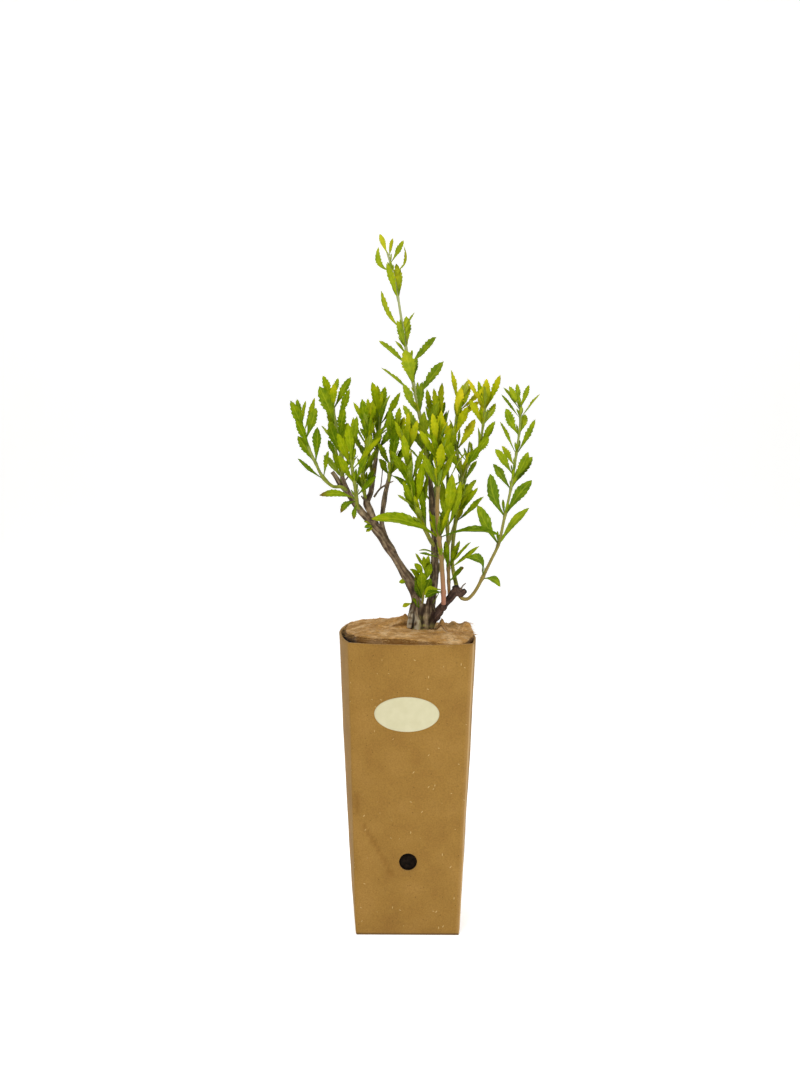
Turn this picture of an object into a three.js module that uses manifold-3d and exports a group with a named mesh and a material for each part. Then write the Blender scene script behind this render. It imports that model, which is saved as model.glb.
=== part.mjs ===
// A young russian sage in a tall carton pot. Millimetres, +Z up, the front faces -Y.
// The origin lies under the middle of the carton's base, on the surface that it stands on.
import * as THREE from "three";
import { mergeVertices } from "three/addons/utils/BufferGeometryUtils.js";
import Module from "manifold-3d";

const wasm = await Module();
wasm.setup();

// Driving dimensions of the carton
const CARTON_HEIGHT = 254;
const BOARD = 1.8;
const BASE_HALF = 44.25;
const FOLD = 1.2;
const GAP = 0.35;
const SOIL_DROP = 1.3;
// The rim's corners seen from above, from the front left round to the back left.
// The soft board has drawn the back right corner in.
const RIM_CORNERS = [
  [-52.5, -52.5],
  [52.5, -52.5],
  [46.5, 40.5],
  [-52.5, 52.5],
];
// How far the soil pushes the middle of each wall out at the rim: front, right, back, left.
const WALL_BULGE = [8, 6, 4, 8.5];
const BULGE_RISE = 0.5;
const WALL_STEPS = 6;
const WALL_LEVELS = [0, 12, 36, 72, 118, 164, 210, CARTON_HEIGHT];
const DRAIN = { x: -0.4, height: 66, radius: 7.6, reach: 16 };
const MOUTH_CLEARANCE = 5;
const ROUND_SIDES = 18;

// The oval label on the front wall
const LABEL = { x: -3, height: 194.5, halfWidth: 27.2, halfHeight: 15, paper: 0.6 };
const LABEL_SIDES = 24;
const LABEL_RING_SHARES = [1, 0.5];

// The fibre mat and the soil under it
const MAT = { thickness: 5, inset: 2.6, cornerCut: 0.05 };
// The mat reaches the front wall and nearly the right one, and leaves some soil bare elsewhere.
const MAT_BULGE_SHARE = [1, 0.8, 0.6, 0.45];
const MAT_RING_SHARES = [0, 0.14, 0.34, 0.56, 0.76, 0.9, 1];
const MAT_EDGE_LEFT = 4.6;
const MAT_SLOPE = 0.03;
const MAT_HALF = 45;
const MAT_BACK_SLOPE = 0.03;
const MAT_DOME = 2.5;
const MAT_DOME_RADIUS = 55;
// The mat bends down to the rim at its front right.
const MAT_DIP = { x: 40, y: -60, depth: 3.5, reachX: 24, reachY: 10 };
const STEM_HOLE = { x: 11.5, y: -8.6, radiusX: 12.8, radiusY: 11 };
const SOIL_LEVELS = [36, 118, 210, 246];
const SOIL_EDGE_DROP = 2;
const SOIL_RING_SHARES = [1, 0.8, 0.55, 0.28];
const STOCK_HOLE_DEPTH = 36;
const MAT_RIPPLE = { height: 0.5, alongX: 0.21, startX: 1.3, alongY: 0.17, startY: -0.4 };
// Places where the mat stands up, as ridges from one point of the plan to another:
// [x1, y1, x2, y2, height at the first end, height at the second, half width].
const MAT_RIDGES = [
  [-24, 12, -6, 3, 4, 8, 11],
  [-13, -15, -5, -7, 2, 5, 4.5],
  [26, -24, 29, -9, 2, 6, 4],
  [-28, 36, -5, 30, 2, 3, 12],
  [38, 14, 38, 22, 2.5, 2.5, 6],
  [47, 4, 47, 12, 5, 4, 5],
];

// Leaf shape: each row is a share of the length and a share of the half width. The teeth are
// the wide places with a notch after them: three a side, or two on a small leaf.
const LARGE_EDGE = [
  [0, 0.16],
  [0.22, 0.3],
  [0.48, 1],
  [0.52, 0.82],
  [0.67, 0.96],
  [0.71, 0.74],
  [0.85, 0.6],
  [1, 0],
];
const SMALL_EDGE = [
  [0, 0.18],
  [0.44, 0.92],
  [0.49, 0.78],
  [0.7, 0.9],
  [0.75, 0.64],
  [1, 0],
];
const SMALL_LEAF = 8.5;
const LARGE_RIB = [0, 0.34, 0.67, 1];
const SMALL_RIB = [0, 0.5, 1];
const BLADE = 0.9;
const BLADE_FOLD = 0.28;
const USUAL_BOW = -0.02;
const ROOT_OFFSET = 0.5;
const USUAL_FACE = 0.7;

// The seeded draw that varies the paired leaves: Lehmer's generator, from 0 to 1
const LEHMER_FACTOR = 16807;
const LEHMER_MODULUS = 2147483647;

function seededDraw(seed) {
  let state = seed * 7919 + 11;
  return () => {
    state = (state * LEHMER_FACTOR) % LEHMER_MODULUS;
    return state / LEHMER_MODULUS;
  };
}

// Solids and geometries

function solidOf(geometry) {
  const bare = geometry.clone();
  bare.deleteAttribute("normal");
  bare.deleteAttribute("uv");
  const merged = mergeVertices(bare, 1e-4);
  return new wasm.Manifold(
    new wasm.Mesh({
      numProp: 3,
      vertProperties: new Float32Array(merged.attributes.position.array),
      triVerts: new Uint32Array(merged.index.array),
    }),
  );
}

function geometryOf(solid) {
  const mesh = solid.getMesh();
  const geometry = new THREE.BufferGeometry();
  geometry.setAttribute("position", new THREE.BufferAttribute(mesh.vertProperties, mesh.numProp));
  geometry.setIndex(new THREE.BufferAttribute(mesh.triVerts, 1));
  geometry.computeVertexNormals();
  return geometry;
}

function fuse(solids) {
  return solids.reduce((whole, next) => whole.add(next));
}

// The largest body of a solid: what a cut leaves loose is dropped.
function largestBody(solid) {
  return solid.decompose().reduce((best, body) => (body.volume() > best.volume() ? body : best));
}

function geometryFrom(points, triangles) {
  const geometry = new THREE.BufferGeometry();
  geometry.setAttribute("position", new THREE.Float32BufferAttribute(points.flatMap((p) => p.toArray()), 3));
  geometry.setIndex(triangles);
  return geometry;
}

// A skin over rings with the same number of points. It is closed by a point at each end, or by
// its first ring when it has no end points.
function loft(rings, firstEnd, lastEnd) {
  const count = rings[0].length;
  const points = rings.flat();
  const triangles = [];
  const lastStep = firstEnd ? rings.length - 1 : rings.length;
  for (let level = 0; level < lastStep; level++) {
    const lower = level * count;
    const upper = ((level + 1) % rings.length) * count;
    for (let k = 0; k < count; k++) {
      const next = (k + 1) % count;
      triangles.push(lower + k, lower + next, upper + next);
      triangles.push(lower + k, upper + next, upper + k);
    }
  }
  if (firstEnd) {
    const top = (rings.length - 1) * count;
    points.push(firstEnd, lastEnd);
    for (let k = 0; k < count; k++) {
      const next = (k + 1) % count;
      triangles.push(points.length - 2, next, k);
      triangles.push(points.length - 1, top + k, top + next);
    }
  }
  return geometryFrom(points, triangles);
}

// The carton's wall: a square base, straight folds up to the rim's corners, and bulged sides.

function wallPoint(side, share, height, inset, bulgeShare = 1) {
  const rise = height / CARTON_HEIGHT;
  const cornerAt = (k) => {
    const [rimX, rimY] = RIM_CORNERS[k % 4];
    const baseX = Math.sign(rimX) * BASE_HALF;
    const baseY = Math.sign(rimY) * BASE_HALF;
    return new THREE.Vector2(baseX + (rimX - baseX) * rise, baseY + (rimY - baseY) * rise);
  };
  const start = cornerAt(side);
  const run = cornerAt(side + 1).sub(start);
  const margin = (FOLD + inset) / run.length();
  const along = margin + (1 - 2 * margin) * share;
  const bulge = WALL_BULGE[side] * bulgeShare * rise ** BULGE_RISE;
  const out = bulge * 4 * along * (1 - along) - inset;
  const outward = new THREE.Vector2(run.y, -run.x).normalize();
  return start.addScaledVector(run, along).addScaledVector(outward, out);
}

function wallRing(height, inset) {
  const ring = [];
  for (let side = 0; side < 4; side++)
    for (let step = 0; step <= WALL_STEPS; step++) {
      const p = wallPoint(side, step / WALL_STEPS, height, inset);
      ring.push(new THREE.Vector3(p.x, p.y, height));
    }
  return ring;
}

const axisPoint = (height) => new THREE.Vector3(0, 0, height);

// The walls and the folded base are one sheet of board, open at the top.
function buildCarton() {
  const outside = loft(WALL_LEVELS.map((z) => wallRing(z, 0)), axisPoint(0), axisPoint(CARTON_HEIGHT));
  const insideRings = [BOARD, ...WALL_LEVELS.slice(1)].map((z) => wallRing(z, BOARD));
  const mouth = CARTON_HEIGHT + MOUTH_CLEARANCE;
  const lid = insideRings.at(-1).map((p) => p.clone().setZ(mouth));
  const inside = loft([...insideRings, lid], axisPoint(BOARD), axisPoint(mouth));
  const drain = new THREE.CylinderGeometry(DRAIN.radius, DRAIN.radius, DRAIN.reach, ROUND_SIDES);
  drain.translate(DRAIN.x, -RIM_CORNERS[1][0], DRAIN.height);
  return solidOf(outside).subtract(solidOf(inside)).subtract(solidOf(drain));
}

// A thin oval that follows the front wall, a gap in front of it.
function buildLabel() {
  const facePoint = (across, up, distance) => {
    const height = LABEL.height + up * LABEL.halfHeight;
    const left = wallPoint(0, 0, height, 0).x;
    const right = wallPoint(0, 1, height, 0).x;
    const x = LABEL.x + across * LABEL.halfWidth;
    const wall = wallPoint(0, (x - left) / (right - left), height, -distance);
    return new THREE.Vector3(x, wall.y, height);
  };
  const ringAt = (share, distance) =>
    Array.from({ length: LABEL_SIDES }, (_, k) => {
      const angle = (2 * Math.PI * k) / LABEL_SIDES;
      return facePoint(share * Math.cos(angle), share * Math.sin(angle), distance);
    });
  const back = LABEL_RING_SHARES.map((share) => ringAt(share, GAP)).reverse();
  const front = LABEL_RING_SHARES.map((share) => ringAt(share, GAP + LABEL.paper));
  return solidOf(loft([...back, ...front], facePoint(0, 0, GAP), facePoint(0, 0, GAP + LABEL.paper)));
}

// The fibre mat's surface: it slopes down to the right, is domed, and stands up in ridges.

function ridgeHeight(x, y, [x1, y1, x2, y2, first, second, halfWidth]) {
  const run = new THREE.Vector2(x2 - x1, y2 - y1);
  const way = new THREE.Vector2(x - x1, y - y1);
  const share = THREE.MathUtils.clamp(way.dot(run) / run.lengthSq(), 0, 1);
  const distance = way.addScaledVector(run, -share).length();
  return (first + (second - first) * share) * Math.exp(-((distance / halfWidth) ** 2));
}

function matBase(x, y) {
  const dome = Math.max(0, 1 - (x * x + y * y) / MAT_DOME_RADIUS ** 2);
  const { height, alongX, startX, alongY, startY } = MAT_RIPPLE;
  const ripple = height * Math.sin(alongX * x + startX) * Math.cos(alongY * y + startY);
  const tilt = MAT_SLOPE * (x + MAT_HALF) + MAT_BACK_SLOPE * y;
  const away = ((x - MAT_DIP.x) / MAT_DIP.reachX) ** 2 + ((y - MAT_DIP.y) / MAT_DIP.reachY) ** 2;
  return CARTON_HEIGHT + MAT_EDGE_LEFT - tilt + MAT_DOME * dome + ripple - MAT_DIP.depth * Math.exp(-away);
}

function matTop(x, y) {
  return MAT_RIDGES.reduce((height, ridge) => height + ridgeHeight(x, y, ridge), matBase(x, y));
}

function matOutline() {
  const outline = [];
  for (let side = 0; side < 4; side++)
    for (let step = 0; step <= WALL_STEPS; step++) {
      const share = MAT.cornerCut + ((1 - 2 * MAT.cornerCut) * step) / WALL_STEPS;
      outline.push(wallPoint(side, share, CARTON_HEIGHT, MAT.inset, MAT_BULGE_SHARE[side]));
    }
  return outline;
}

function buildMat() {
  const outline = matOutline();
  const hole = outline.map((p) => {
    const angle = Math.atan2(p.y - STEM_HOLE.y, p.x - STEM_HOLE.x);
    const x = STEM_HOLE.x + STEM_HOLE.radiusX * Math.cos(angle);
    return new THREE.Vector2(x, STEM_HOLE.y + STEM_HOLE.radiusY * Math.sin(angle));
  });
  const ring = (share, drop) =>
    outline.map((p, k) => {
      const q = p.clone().lerp(hole[k], share);
      return new THREE.Vector3(q.x, q.y, matTop(q.x, q.y) - drop);
    });
  const upper = MAT_RING_SHARES.map((share) => ring(share, 0));
  const lower = MAT_RING_SHARES.map((share) => ring(share, MAT.thickness)).reverse();
  return solidOf(loft([...lower, ...upper]));
}

// The soil fills the carton up to the mat, with a plain round hole for the root stock.
function buildSoil() {
  const inset = BOARD + GAP;
  const top = (x, y) => matBase(x, y) - MAT.thickness - SOIL_DROP;
  const walls = [inset, ...SOIL_LEVELS].map((z) => wallRing(z, inset));
  const rim = wallRing(CARTON_HEIGHT - SOIL_EDGE_DROP, inset);
  const cover = SOIL_RING_SHARES.map((share) =>
    rim.map((p) => {
      const x = p.x * share;
      const y = p.y * share;
      return new THREE.Vector3(x, y, top(x, y));
    }),
  );
  const body = solidOf(loft([...walls, ...cover], axisPoint(inset), axisPoint(top(0, 0))));
  const radius = STOCK.holeRadius;
  const hole = new THREE.CylinderGeometry(radius, radius, 2 * STOCK_HOLE_DEPTH, ROUND_SIDES);
  hole.rotateX(Math.PI / 2);
  hole.translate(STOCK.x, STOCK.y, CARTON_HEIGHT);
  return body.subtract(solidOf(hole));
}

// Stems: a round skin along a smooth curve, with a girth at each point that it passes.

function curveThrough(rows) {
  const points = rows.map(([x, y, z]) => new THREE.Vector3(x, y, z));
  return new THREE.CatmullRomCurve3(points, false, "centripetal");
}

const FOOT_CAP = 0.3;
const END_CAP = 0.5;

function stemGeometry(rows, sides, stepsPerRow, extra = 0) {
  const curve = curveThrough(rows);
  const steps = (rows.length - 1) * stepsPerRow;
  let across = new THREE.Vector3(1, 0, 0);
  const rings = [];
  for (let step = 0; step <= steps; step++) {
    const share = step / steps;
    const centre = curve.getPoint(share);
    const tangent = curve.getTangent(share);
    across = across.clone().addScaledVector(tangent, -across.dot(tangent)).normalize();
    const beside = new THREE.Vector3().crossVectors(tangent, across);
    const place = share * (rows.length - 1);
    const before = Math.min(Math.floor(place), rows.length - 2);
    const radius = THREE.MathUtils.lerp(rows[before][3], rows[before + 1][3], place - before) + extra;
    const ring = [];
    for (let k = 0; k < sides; k++) {
      const angle = (2 * Math.PI * k) / sides;
      ring.push(
        centre
          .clone()
          .addScaledVector(across, radius * Math.cos(angle))
          .addScaledVector(beside, radius * Math.sin(angle)),
      );
    }
    rings.push(ring);
  }
  const firstTangent = curve.getTangent(0);
  const lastTangent = curve.getTangent(1);
  const firstEnd = curve.getPoint(0).addScaledVector(firstTangent, -FOOT_CAP - extra);
  const lastEnd = curve.getPoint(1).addScaledVector(lastTangent, END_CAP + extra);
  return loft(rings, firstEnd, lastEnd);
}

// The woody parts. Each row is a point of the middle line and the radius there: [x, y, z, radius].
const STOCK = { x: 10, y: -8, holeRadius: 10.5 };
const CROWN_STEMS = [
  // root stock and flared base
  [
    [10, -8, 222, 6],
    [10, -8, 242, 8],
    [9.5, -8, 258, 9.4],
    [9.5, -8, 269, 7.4],
    [11, -7, 280, 4],
  ],
  // main stem, leaning to the left
  [
    [7, -8, 262, 5.4],
    [5, -8, 283, 4.2],
    [2, -7, 295, 4.6],
    [-6, -6, 308, 3.9],
    [-18, -5, 327, 3.9],
    [-33, -4, 349, 3.8],
  ],
  // its left fork, with a cut end
  [
    [-31, -4, 346, 3.6],
    [-44, -4, 360, 3.3],
    [-52, -3, 368, 3.1],
    [-60, -2, 381, 2.8],
    [-68, -1, 391, 2.6],
  ],
  // a second cut stub on that fork
  [
    [-58, -2, 377, 2.4],
    [-59.5, 2, 384, 2.1],
  ],
  // its right fork, with a knob
  [
    [-28, -4.5, 342, 3.6],
    [-36, -3, 361, 3.1],
    [-38.5, -2, 368, 3.6],
    [-34.5, -1, 374, 2.8],
    [-33, 0, 388, 2.3],
    [-30.5, 0, 404, 1.9],
  ],
  // a thin dark fork behind
  [
    [-19, -5, 329, 2.8],
    [-25, -2, 348, 2.4],
    [-24, 0, 362, 2.3],
    [-22, 1, 375, 2.2],
    [-19, 2, 388, 2],
  ],
  // the upright stem in the middle
  [
    [15, -8, 262, 4.8],
    [18.5, -6, 286, 4],
    [20.5, -4, 316, 3.6],
    [20, -3, 340, 3.3],
    [18, -2, 363, 3],
    [17, -2, 375, 2.6],
  ],
];
const SIDE_BRANCH = [
  [
    [18, -12.5, 259, 3.2],
    [21, -13.5, 266, 3.5],
    [28, -14, 277, 3.9],
    [35, -14, 286.5, 3.4],
    [39, -14, 293, 3.9],
    [44, -13, 289, 2.6],
  ],
];
const CROWN_SIDES = 7;
const CROWN_STEPS = 2;
const SHOOT_SIDES = 5;
const SHOOT_STEPS = 1;

function woodySolid(stems, extra) {
  return fuse(stems.map((rows) => solidOf(stemGeometry(rows, CROWN_SIDES, CROWN_STEPS, extra))));
}

// The leafy shoots. A stem row is [x, y, z, radius]. A leaf row is the height of its foot on the
// stem, its tip x, y and z, its width, and, where they aren't the usual ones, how far its face
// looks to the front and how far it bows. Pairs are [first height, last height, step, length, turn].
const SHOOTS = [
  {
    name: "leader_shoot",
    seed: 1,
    stems: [
      [
        [17, -2, 374, 1.5],
        [10, -4, 420, 1.4],
        [2, -2, 462, 1.3],
        [-6, 1, 498, 1.15],
        [-13, 2, 539, 1],
        [-18, 1, 562, 0.9],
        [-23, 0, 579, 0.7],
      ],
    ],
    leaves: [
      [577, -29, -2, 593, 6],
      [574, -18, 4, 590, 6, 0.3],
      [569, -9.5, -3, 588, 7],
      [562, -30, -3, 582, 7, 0.7, -0.3],
      [561, -8.5, 2, 583, 7, 0.3, -0.28],
      [540, -23, -6, 568, 8, 1],
      [540, -15, 6, 569, 9, 1, -0.05],
      [513, -27.5, 3, 546, 8, 0.5, -0.12],
      [512, 0, -4, 528, 4],
      [498, -14, -7, 521, 8, 1],
      [498, -6, 8, 525, 9, 1],
      [492, -15, 6, 504, 4],
      [481, -29, 3, 504, 8, 0.4, 0],
      [484, 20, -2, 507, 10, 0.7, -0.02],
      [468, -7, -16, 496, 14, 1],
      [470, 3, 12, 490, 8, 0.6],
      [458, -26.5, -3, 481, 8, 0.4, 0],
      [457, 26, -4, 487, 12, 1],
      [442, -8, -8, 468, 9, 1],
      [443, 8, -13, 470, 9, 1],
      [425, -8, -9, 450, 9, 1],
      [426, 22, -8, 453, 9, 1],
      [414, 9, -21, 445, 10, 1],
      [408, -3, -10, 436, 8, 1],
      [408, 25, -6, 431, 8],
      [396, 21, -12, 426, 9],
    ],
  },
  {
    name: "far_left_shoot",
    seed: 2,
    stems: [
      [
        [-60, -7, 380, 1.5],
        [-67, -8, 380.5, 1.4],
        [-76, -9, 389, 1.4],
        [-81, -10, 399, 1.2],
        [-87, -10, 412, 1.1],
        [-91, -9, 423, 1],
        [-95, -8, 431, 0.8],
      ],
    ],
    leaves: [
      [386, -97, -14, 404, 6, 0.2],
      [388, -71, -16, 411, 7],
      [400, -97, -6, 423, 9],
      [401, -80, -14, 431, 10],
      [413, -98, -14, 437, 8, 0.4],
      [422, -103, -12, 453, 9],
      [421, -82, -12, 447, 11, 1],
      [429, -98, -4, 454, 7],
      [430, -91, -10, 453, 6],
      [426, -83, 4, 455, 7],
    ],
  },
  {
    name: "left_shoot",
    seed: 3,
    stems: [
      [
        [-59.5, 2, 383, 1.6],
        [-59, 3, 399, 1.5],
        [-63, 1, 423, 1.3],
        [-67, 0, 445, 1.1],
        [-68, -1, 457, 0.8],
      ],
    ],
    leaves: [
      [391, -67.5, -5, 408, 9, 1],
      [393, -48, 8, 412, 8],
      [407, -71, -6, 436, 11, 1],
      [408, -56, 12, 434, 9],
      [420, -58, -16, 446, 10, 1],
      [422, -72, 14, 446, 9],
      [433, -79, -6, 465, 13, 1],
      [433, -54, -4, 463, 9],
      [446, -53, 4, 473, 9],
      [446, -66, -10, 468, 8, 1],
      [451, -76, -3, 474, 8],
      [455, -63.5, 2, 472, 6],
    ],
  },
  {
    name: "front_left_shoot",
    seed: 4,
    stems: [
      [
        [-46, -8, 364, 1.5],
        [-47.5, -14, 376, 1.4],
        [-49, -18, 388, 1.3],
        [-51, -20, 400, 1.1],
        [-52, -21, 410, 0.8],
      ],
    ],
    leaves: [
      [370, -78, -16, 374, 8, 0.8, 0.1],
      [368, -60, -17, 359, 8, 1, 0.2],
      [366, -40, -12, 343, 6, 1, 0.1],
      [373, -30, -20, 390, 7],
      [384, -63, -24, 408, 9],
      [385, -38, -30, 408, 8],
      [396, -27, -26, 424, 8, 0.8],
      [397, -63, -18, 426, 9],
      [403, -54, -28, 435, 9, 1],
      [408, -50, -18, 440, 6],
      [409, -46.5, -24, 441, 7],
    ],
  },
  {
    name: "left_knob_shoot",
    seed: 5,
    stems: [
      [
        [-39.5, -4, 371, 1.5],
        [-41.5, -6, 388, 1.4],
        [-39, -7, 407, 1.2],
        [-37, -8, 427, 1],
        [-37.5, -8, 438, 0.8],
      ],
    ],
    leaves: [
      [378, -31, -11, 397, 8, 1],
      [377, -51, -10, 395, 7],
      [391, -30, -14, 412, 8],
      [404, -26, -8, 430, 8],
      [406, -52, -8, 428, 8],
      [420, -43, -14, 455, 12, 1],
      [421, -34, -4, 453, 12, 1],
      [430, -50, -5, 452, 7, 0.5],
      [434, -31, -12, 449, 6],
      [434, -38, -4, 455, 6],
    ],
  },
  {
    name: "left_inner_shoot",
    seed: 6,
    stems: [
      [
        [-30.5, 1, 405, 1.5],
        [-29, 3, 420, 1.3],
        [-27.5, 4, 433, 1.1],
        [-27, 4, 450, 0.8],
      ],
    ],
    leaves: [
      [410, -44, 10, 430, 8],
      [411, -16, 6, 430, 8],
      [423, -30, 18, 450, 9],
      [438, -34.5, 0, 469, 9],
      [440, -23.5, 8, 465, 8],
      [433, -10, 8, 460, 8],
      [447, -30, 8, 466, 6],
    ],
  },
  {
    name: "centre_left_shoot",
    seed: 7,
    stems: [
      [
        [-19, 1, 389, 1.5],
        [-17, -4, 401, 1.3],
        [-15, -8, 416, 1.1],
        [-14, -9, 429, 0.8],
      ],
    ],
    leaves: [
      [390, -28, -7, 404, 9, 1],
      [391, -9, -7, 406, 9, 1],
      [390, -4, -8, 379, 6, 0.8, 0.1],
      [398, -29, -12, 418, 9],
      [399, -3, -3, 415, 8],
      [403, -14, -16, 432, 10, 1],
      [414, -19, -12, 446, 10, 1],
      [415, -7, -3, 440, 8],
      [423, -11, -8, 448, 7],
      [424, -20, -3, 446, 6],
    ],
  },
  {
    name: "centre_shoot",
    seed: 8,
    stems: [
      [
        [20.5, 2, 366, 1.5],
        [22, 10, 386, 1.4],
        [22.5, 14, 404, 1.2],
        [21.5, 15, 420, 1],
        [21, 14, 432, 0.8],
      ],
    ],
    leaves: [
      [392, 8, 20, 418, 9],
      [394, 38, 22, 416, 8],
      [408, 18, 6, 450, 10, 1],
      [409, 30, 22, 444, 8],
      [416, 32, 8, 446, 7, 0.3],
      [426, 25.5, 8, 469, 9, 1],
      [428, 18, 4, 464, 9, 1],
      [429, 13, 16, 463, 8],
    ],
  },
  {
    name: "low_centre_shoot",
    seed: 9,
    stems: [
      [
        [16, -7, 336, 1.8],
        [8, -10, 354, 1.6],
        [3, -12, 366, 1.4],
        [-0.5, -12, 380, 1.2],
        [-2.5, -15, 395, 1.1],
        [-4, -18, 420, 0.8],
      ],
    ],
    leaves: [
      [344, 6, -17, 384, 8, 1],
      [350, -6.5, -14, 377, 6, 0.3],
      [354, 13, -14, 391, 8, 1],
      [364, -9, -18, 403, 11, 1],
      [365, 8, -22, 402, 10, 1],
      [382, -18, -22, 412, 9],
      [384, 10, -18, 414, 9],
      [396, -8, -34, 426, 10, 1],
      [410, -15, -22, 437, 8],
      [411, 3, -26, 438, 9],
      [417, -4, -19, 444, 7],
    ],
  },
  {
    name: "front_shoot",
    seed: 10,
    stems: [
      [
        [28, -18.5, 282, 2.3],
        [26, -19, 316, 2.2],
        [23.5, -20, 338, 2],
        [21.5, -19, 363, 1.8],
        [22, -19, 381, 1.6],
        [22, -20, 396, 1.3],
        [20, -21, 420, 0.9],
      ],
    ],
    leaves: [
      [292, 12, -28, 289, 10, 0.8, 0.1],
      [322, 7, -22, 326, 6, 0.2],
      [338.5, -33.5, -30, 356, 13, 0.8, 0.09],
      [338.5, 74.5, -27, 342, 10, 0.5, 0.1],
      [380, 8, -26, 410, 10, 1],
      [381, 34, -26, 410, 9],
      [392, 24, -36, 420, 11, 1],
      [404, 6, -30, 430, 9],
      [406, 33, -28, 432, 9],
      [416, 16, -30, 444, 9, 1],
      [417, 24, -16, 446, 8],
    ],
  },
  {
    name: "thin_stem_shoot",
    seed: 11,
    stems: [
      [
        [33, -11, 290, 1.4],
        [32, -6, 316, 1.4],
        [31, -5, 346, 1.4],
        [30, -4, 369, 1.3],
        [31, 1, 388, 1.1],
        [30, 4, 412, 0.8],
      ],
    ],
    leaves: [
      [300, 45, -20, 313, 12, 1],
      [310, 58, -16, 331, 7, 0.9],
      [313, 50, -18, 335, 7, 0.9],
      [344, 26, -13, 386, 9, 1],
      [346, 41, -14, 386, 9, 1],
      [350, 34, -18, 393, 12, 1],
      [356, 44, -8, 384, 8],
      [386, 44, -15, 412, 8],
      [388, 20, -10, 414, 8],
      [404, 37, -6.5, 434, 9],
      [406, 33, 12, 434, 8],
    ],
  },
  {
    name: "right_forked_shoot",
    seed: 12,
    stems: [
      [
        [39, -10, 297, 1.8],
        [36, -1, 312, 1.6],
        [36, 4, 326, 1.6],
        [39, 5, 355, 1.5],
        [43, 4, 388, 1.4],
        [38.5, 4, 411, 1.2],
        [36.5, 4, 425, 1.1],
        [38, 4, 440, 1],
        [41.5, 4, 453, 0.8],
      ],
      [
        [42.5, 4, 386, 1.3],
        [47, 2, 398, 1.1],
        [57, 0, 414, 1],
        [60, 0, 430, 1],
        [62.5, 0, 454, 0.8],
      ],
    ],
    leaves: [
      [350, 62, -4, 372, 9, 0.6],
      [359, 56.5, 2, 380, 6],
      [366, 53.5, 8, 384, 6],
      [388, 53, 10, 412, 8],
      [393, 24, -13, 424, 13, 1],
      [412, 54, 10, 438, 10, 1],
      [414, 22, 4, 441, 10],
      [424, 47, -2, 449, 9, 1],
      [438, 57.5, 8, 453, 8, 1],
      [440, 41, -6, 465, 9, 1],
      [445, 61, 8, 464, 7, 0.3],
      [447, 49, -2, 467, 8, 1],
      [450, 33.5, 4, 480, 7],
    ],
    secondLeaves: [
      [399, 55, -8, 414, 10, 1],
      [407, 65, -6, 424, 9, 1],
      [405, 49.5, -4, 419, 8],
      [414, 70, -4, 437, 7, 0.4],
      [433, 49, -6, 455, 8, 1],
      [434, 71, 6, 452, 7],
      [443, 57, 6, 460, 7],
      [447, 74, -3, 476, 8, 0.4],
      [448, 46, -8, 473, 7, 0.6],
      [451, 62, -6, 473, 9, 1],
    ],
  },
  {
    name: "right_arching_shoot",
    seed: 13,
    stems: [
      [
        [44, -13, 286, 1.6],
        [48.5, -13, 285.5, 1.5],
        [54, -14, 291, 1.4],
        [61, -14, 304, 1.4],
        [68, -14, 319, 1.3],
        [74, -13, 332, 1.3],
        [79, -12, 355, 1.2],
        [84.5, -11, 382, 1.1],
        [88.5, -10, 411, 1],
        [91, -10, 434, 0.9],
        [91, -10, 452, 0.7],
      ],
    ],
    leaves: [
      [305, 46, -24, 322, 9, 0.7, 0.3],
      [303, 76, -18, 297, 9, 1, 0.22],
      [333, 55, -17, 366, 13, 1, -0.04],
      [332, 100, -8, 364, 9, 0.4, 0.03],
      [357, 66, -17, 393, 14, 1, -0.08],
      [358, 101, -14, 388, 11, 0.9, 0.03],
      [380, 69, -9, 401, 11, 0.9],
      [381, 102.5, -6, 407, 11, 0.9, 0.03],
      [387, 98, -18, 412, 9, 1],
      [392, 70.5, -14, 414, 10, 0.9],
      [400, 76.5, -2, 416, 9],
      [410, 74.5, -12, 437, 7, 0.4],
      [410, 104, -10, 439, 7, 0.5],
      [426, 78, -15, 448, 11, 1, -0.05],
      [427, 96, -2, 443, 8],
      [440, 75.5, -6, 460, 4],
      [441, 106, -14, 461, 6, 0.3],
      [447, 77, -10, 466, 5],
      [449, 98.5, -6, 468, 6],
      [450, 81.5, -12, 467, 7, 1],
      [451, 88, -9, 469, 6],
    ],
  },
  {
    name: "basal_shoot",
    seed: 14,
    stems: [
      [
        [9, -15, 271, 1.7],
        [7, -18, 290, 1.5],
        [8, -18, 305, 1.2],
        [9, -18, 316, 0.9],
      ],
    ],
    leaves: [
      [279, -6, -22, 278, 7, 0.6, 0.1],
      [288, -8, -20, 299, 6],
      [292, 13, -26, 305, 8, 1],
      [300, -2, -22, 315, 9, 1],
      [303, 16, -16, 317, 8],
      [309, 3, -22, 322, 8, 1],
      [312, 12, -15, 324, 7],
      [313, 3.5, -15, 326, 6, 0.3],
    ],
  },
  {
    name: "back_centre_shoot",
    seed: 15,
    stems: [
      [
        [20.5, 0, 334, 1.6],
        [21, 14, 352, 1.5],
        [17, 29, 378, 1.3],
        [13, 37, 405, 1.1],
        [11, 40, 434, 0.8],
      ],
    ],
    leaves: [],
    pairs: [364, 430, 16, 29, 10],
  },
  {
    name: "back_left_shoot",
    seed: 16,
    stems: [
      [
        [-33, 3, 386, 1.5],
        [-35, 12, 398, 1.4],
        [-38, 20, 416, 1.2],
        [-39, 24, 438, 0.8],
      ],
    ],
    leaves: [],
    pairs: [398, 434, 15, 28, 60],
  },
  {
    name: "back_far_left_shoot",
    seed: 17,
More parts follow.
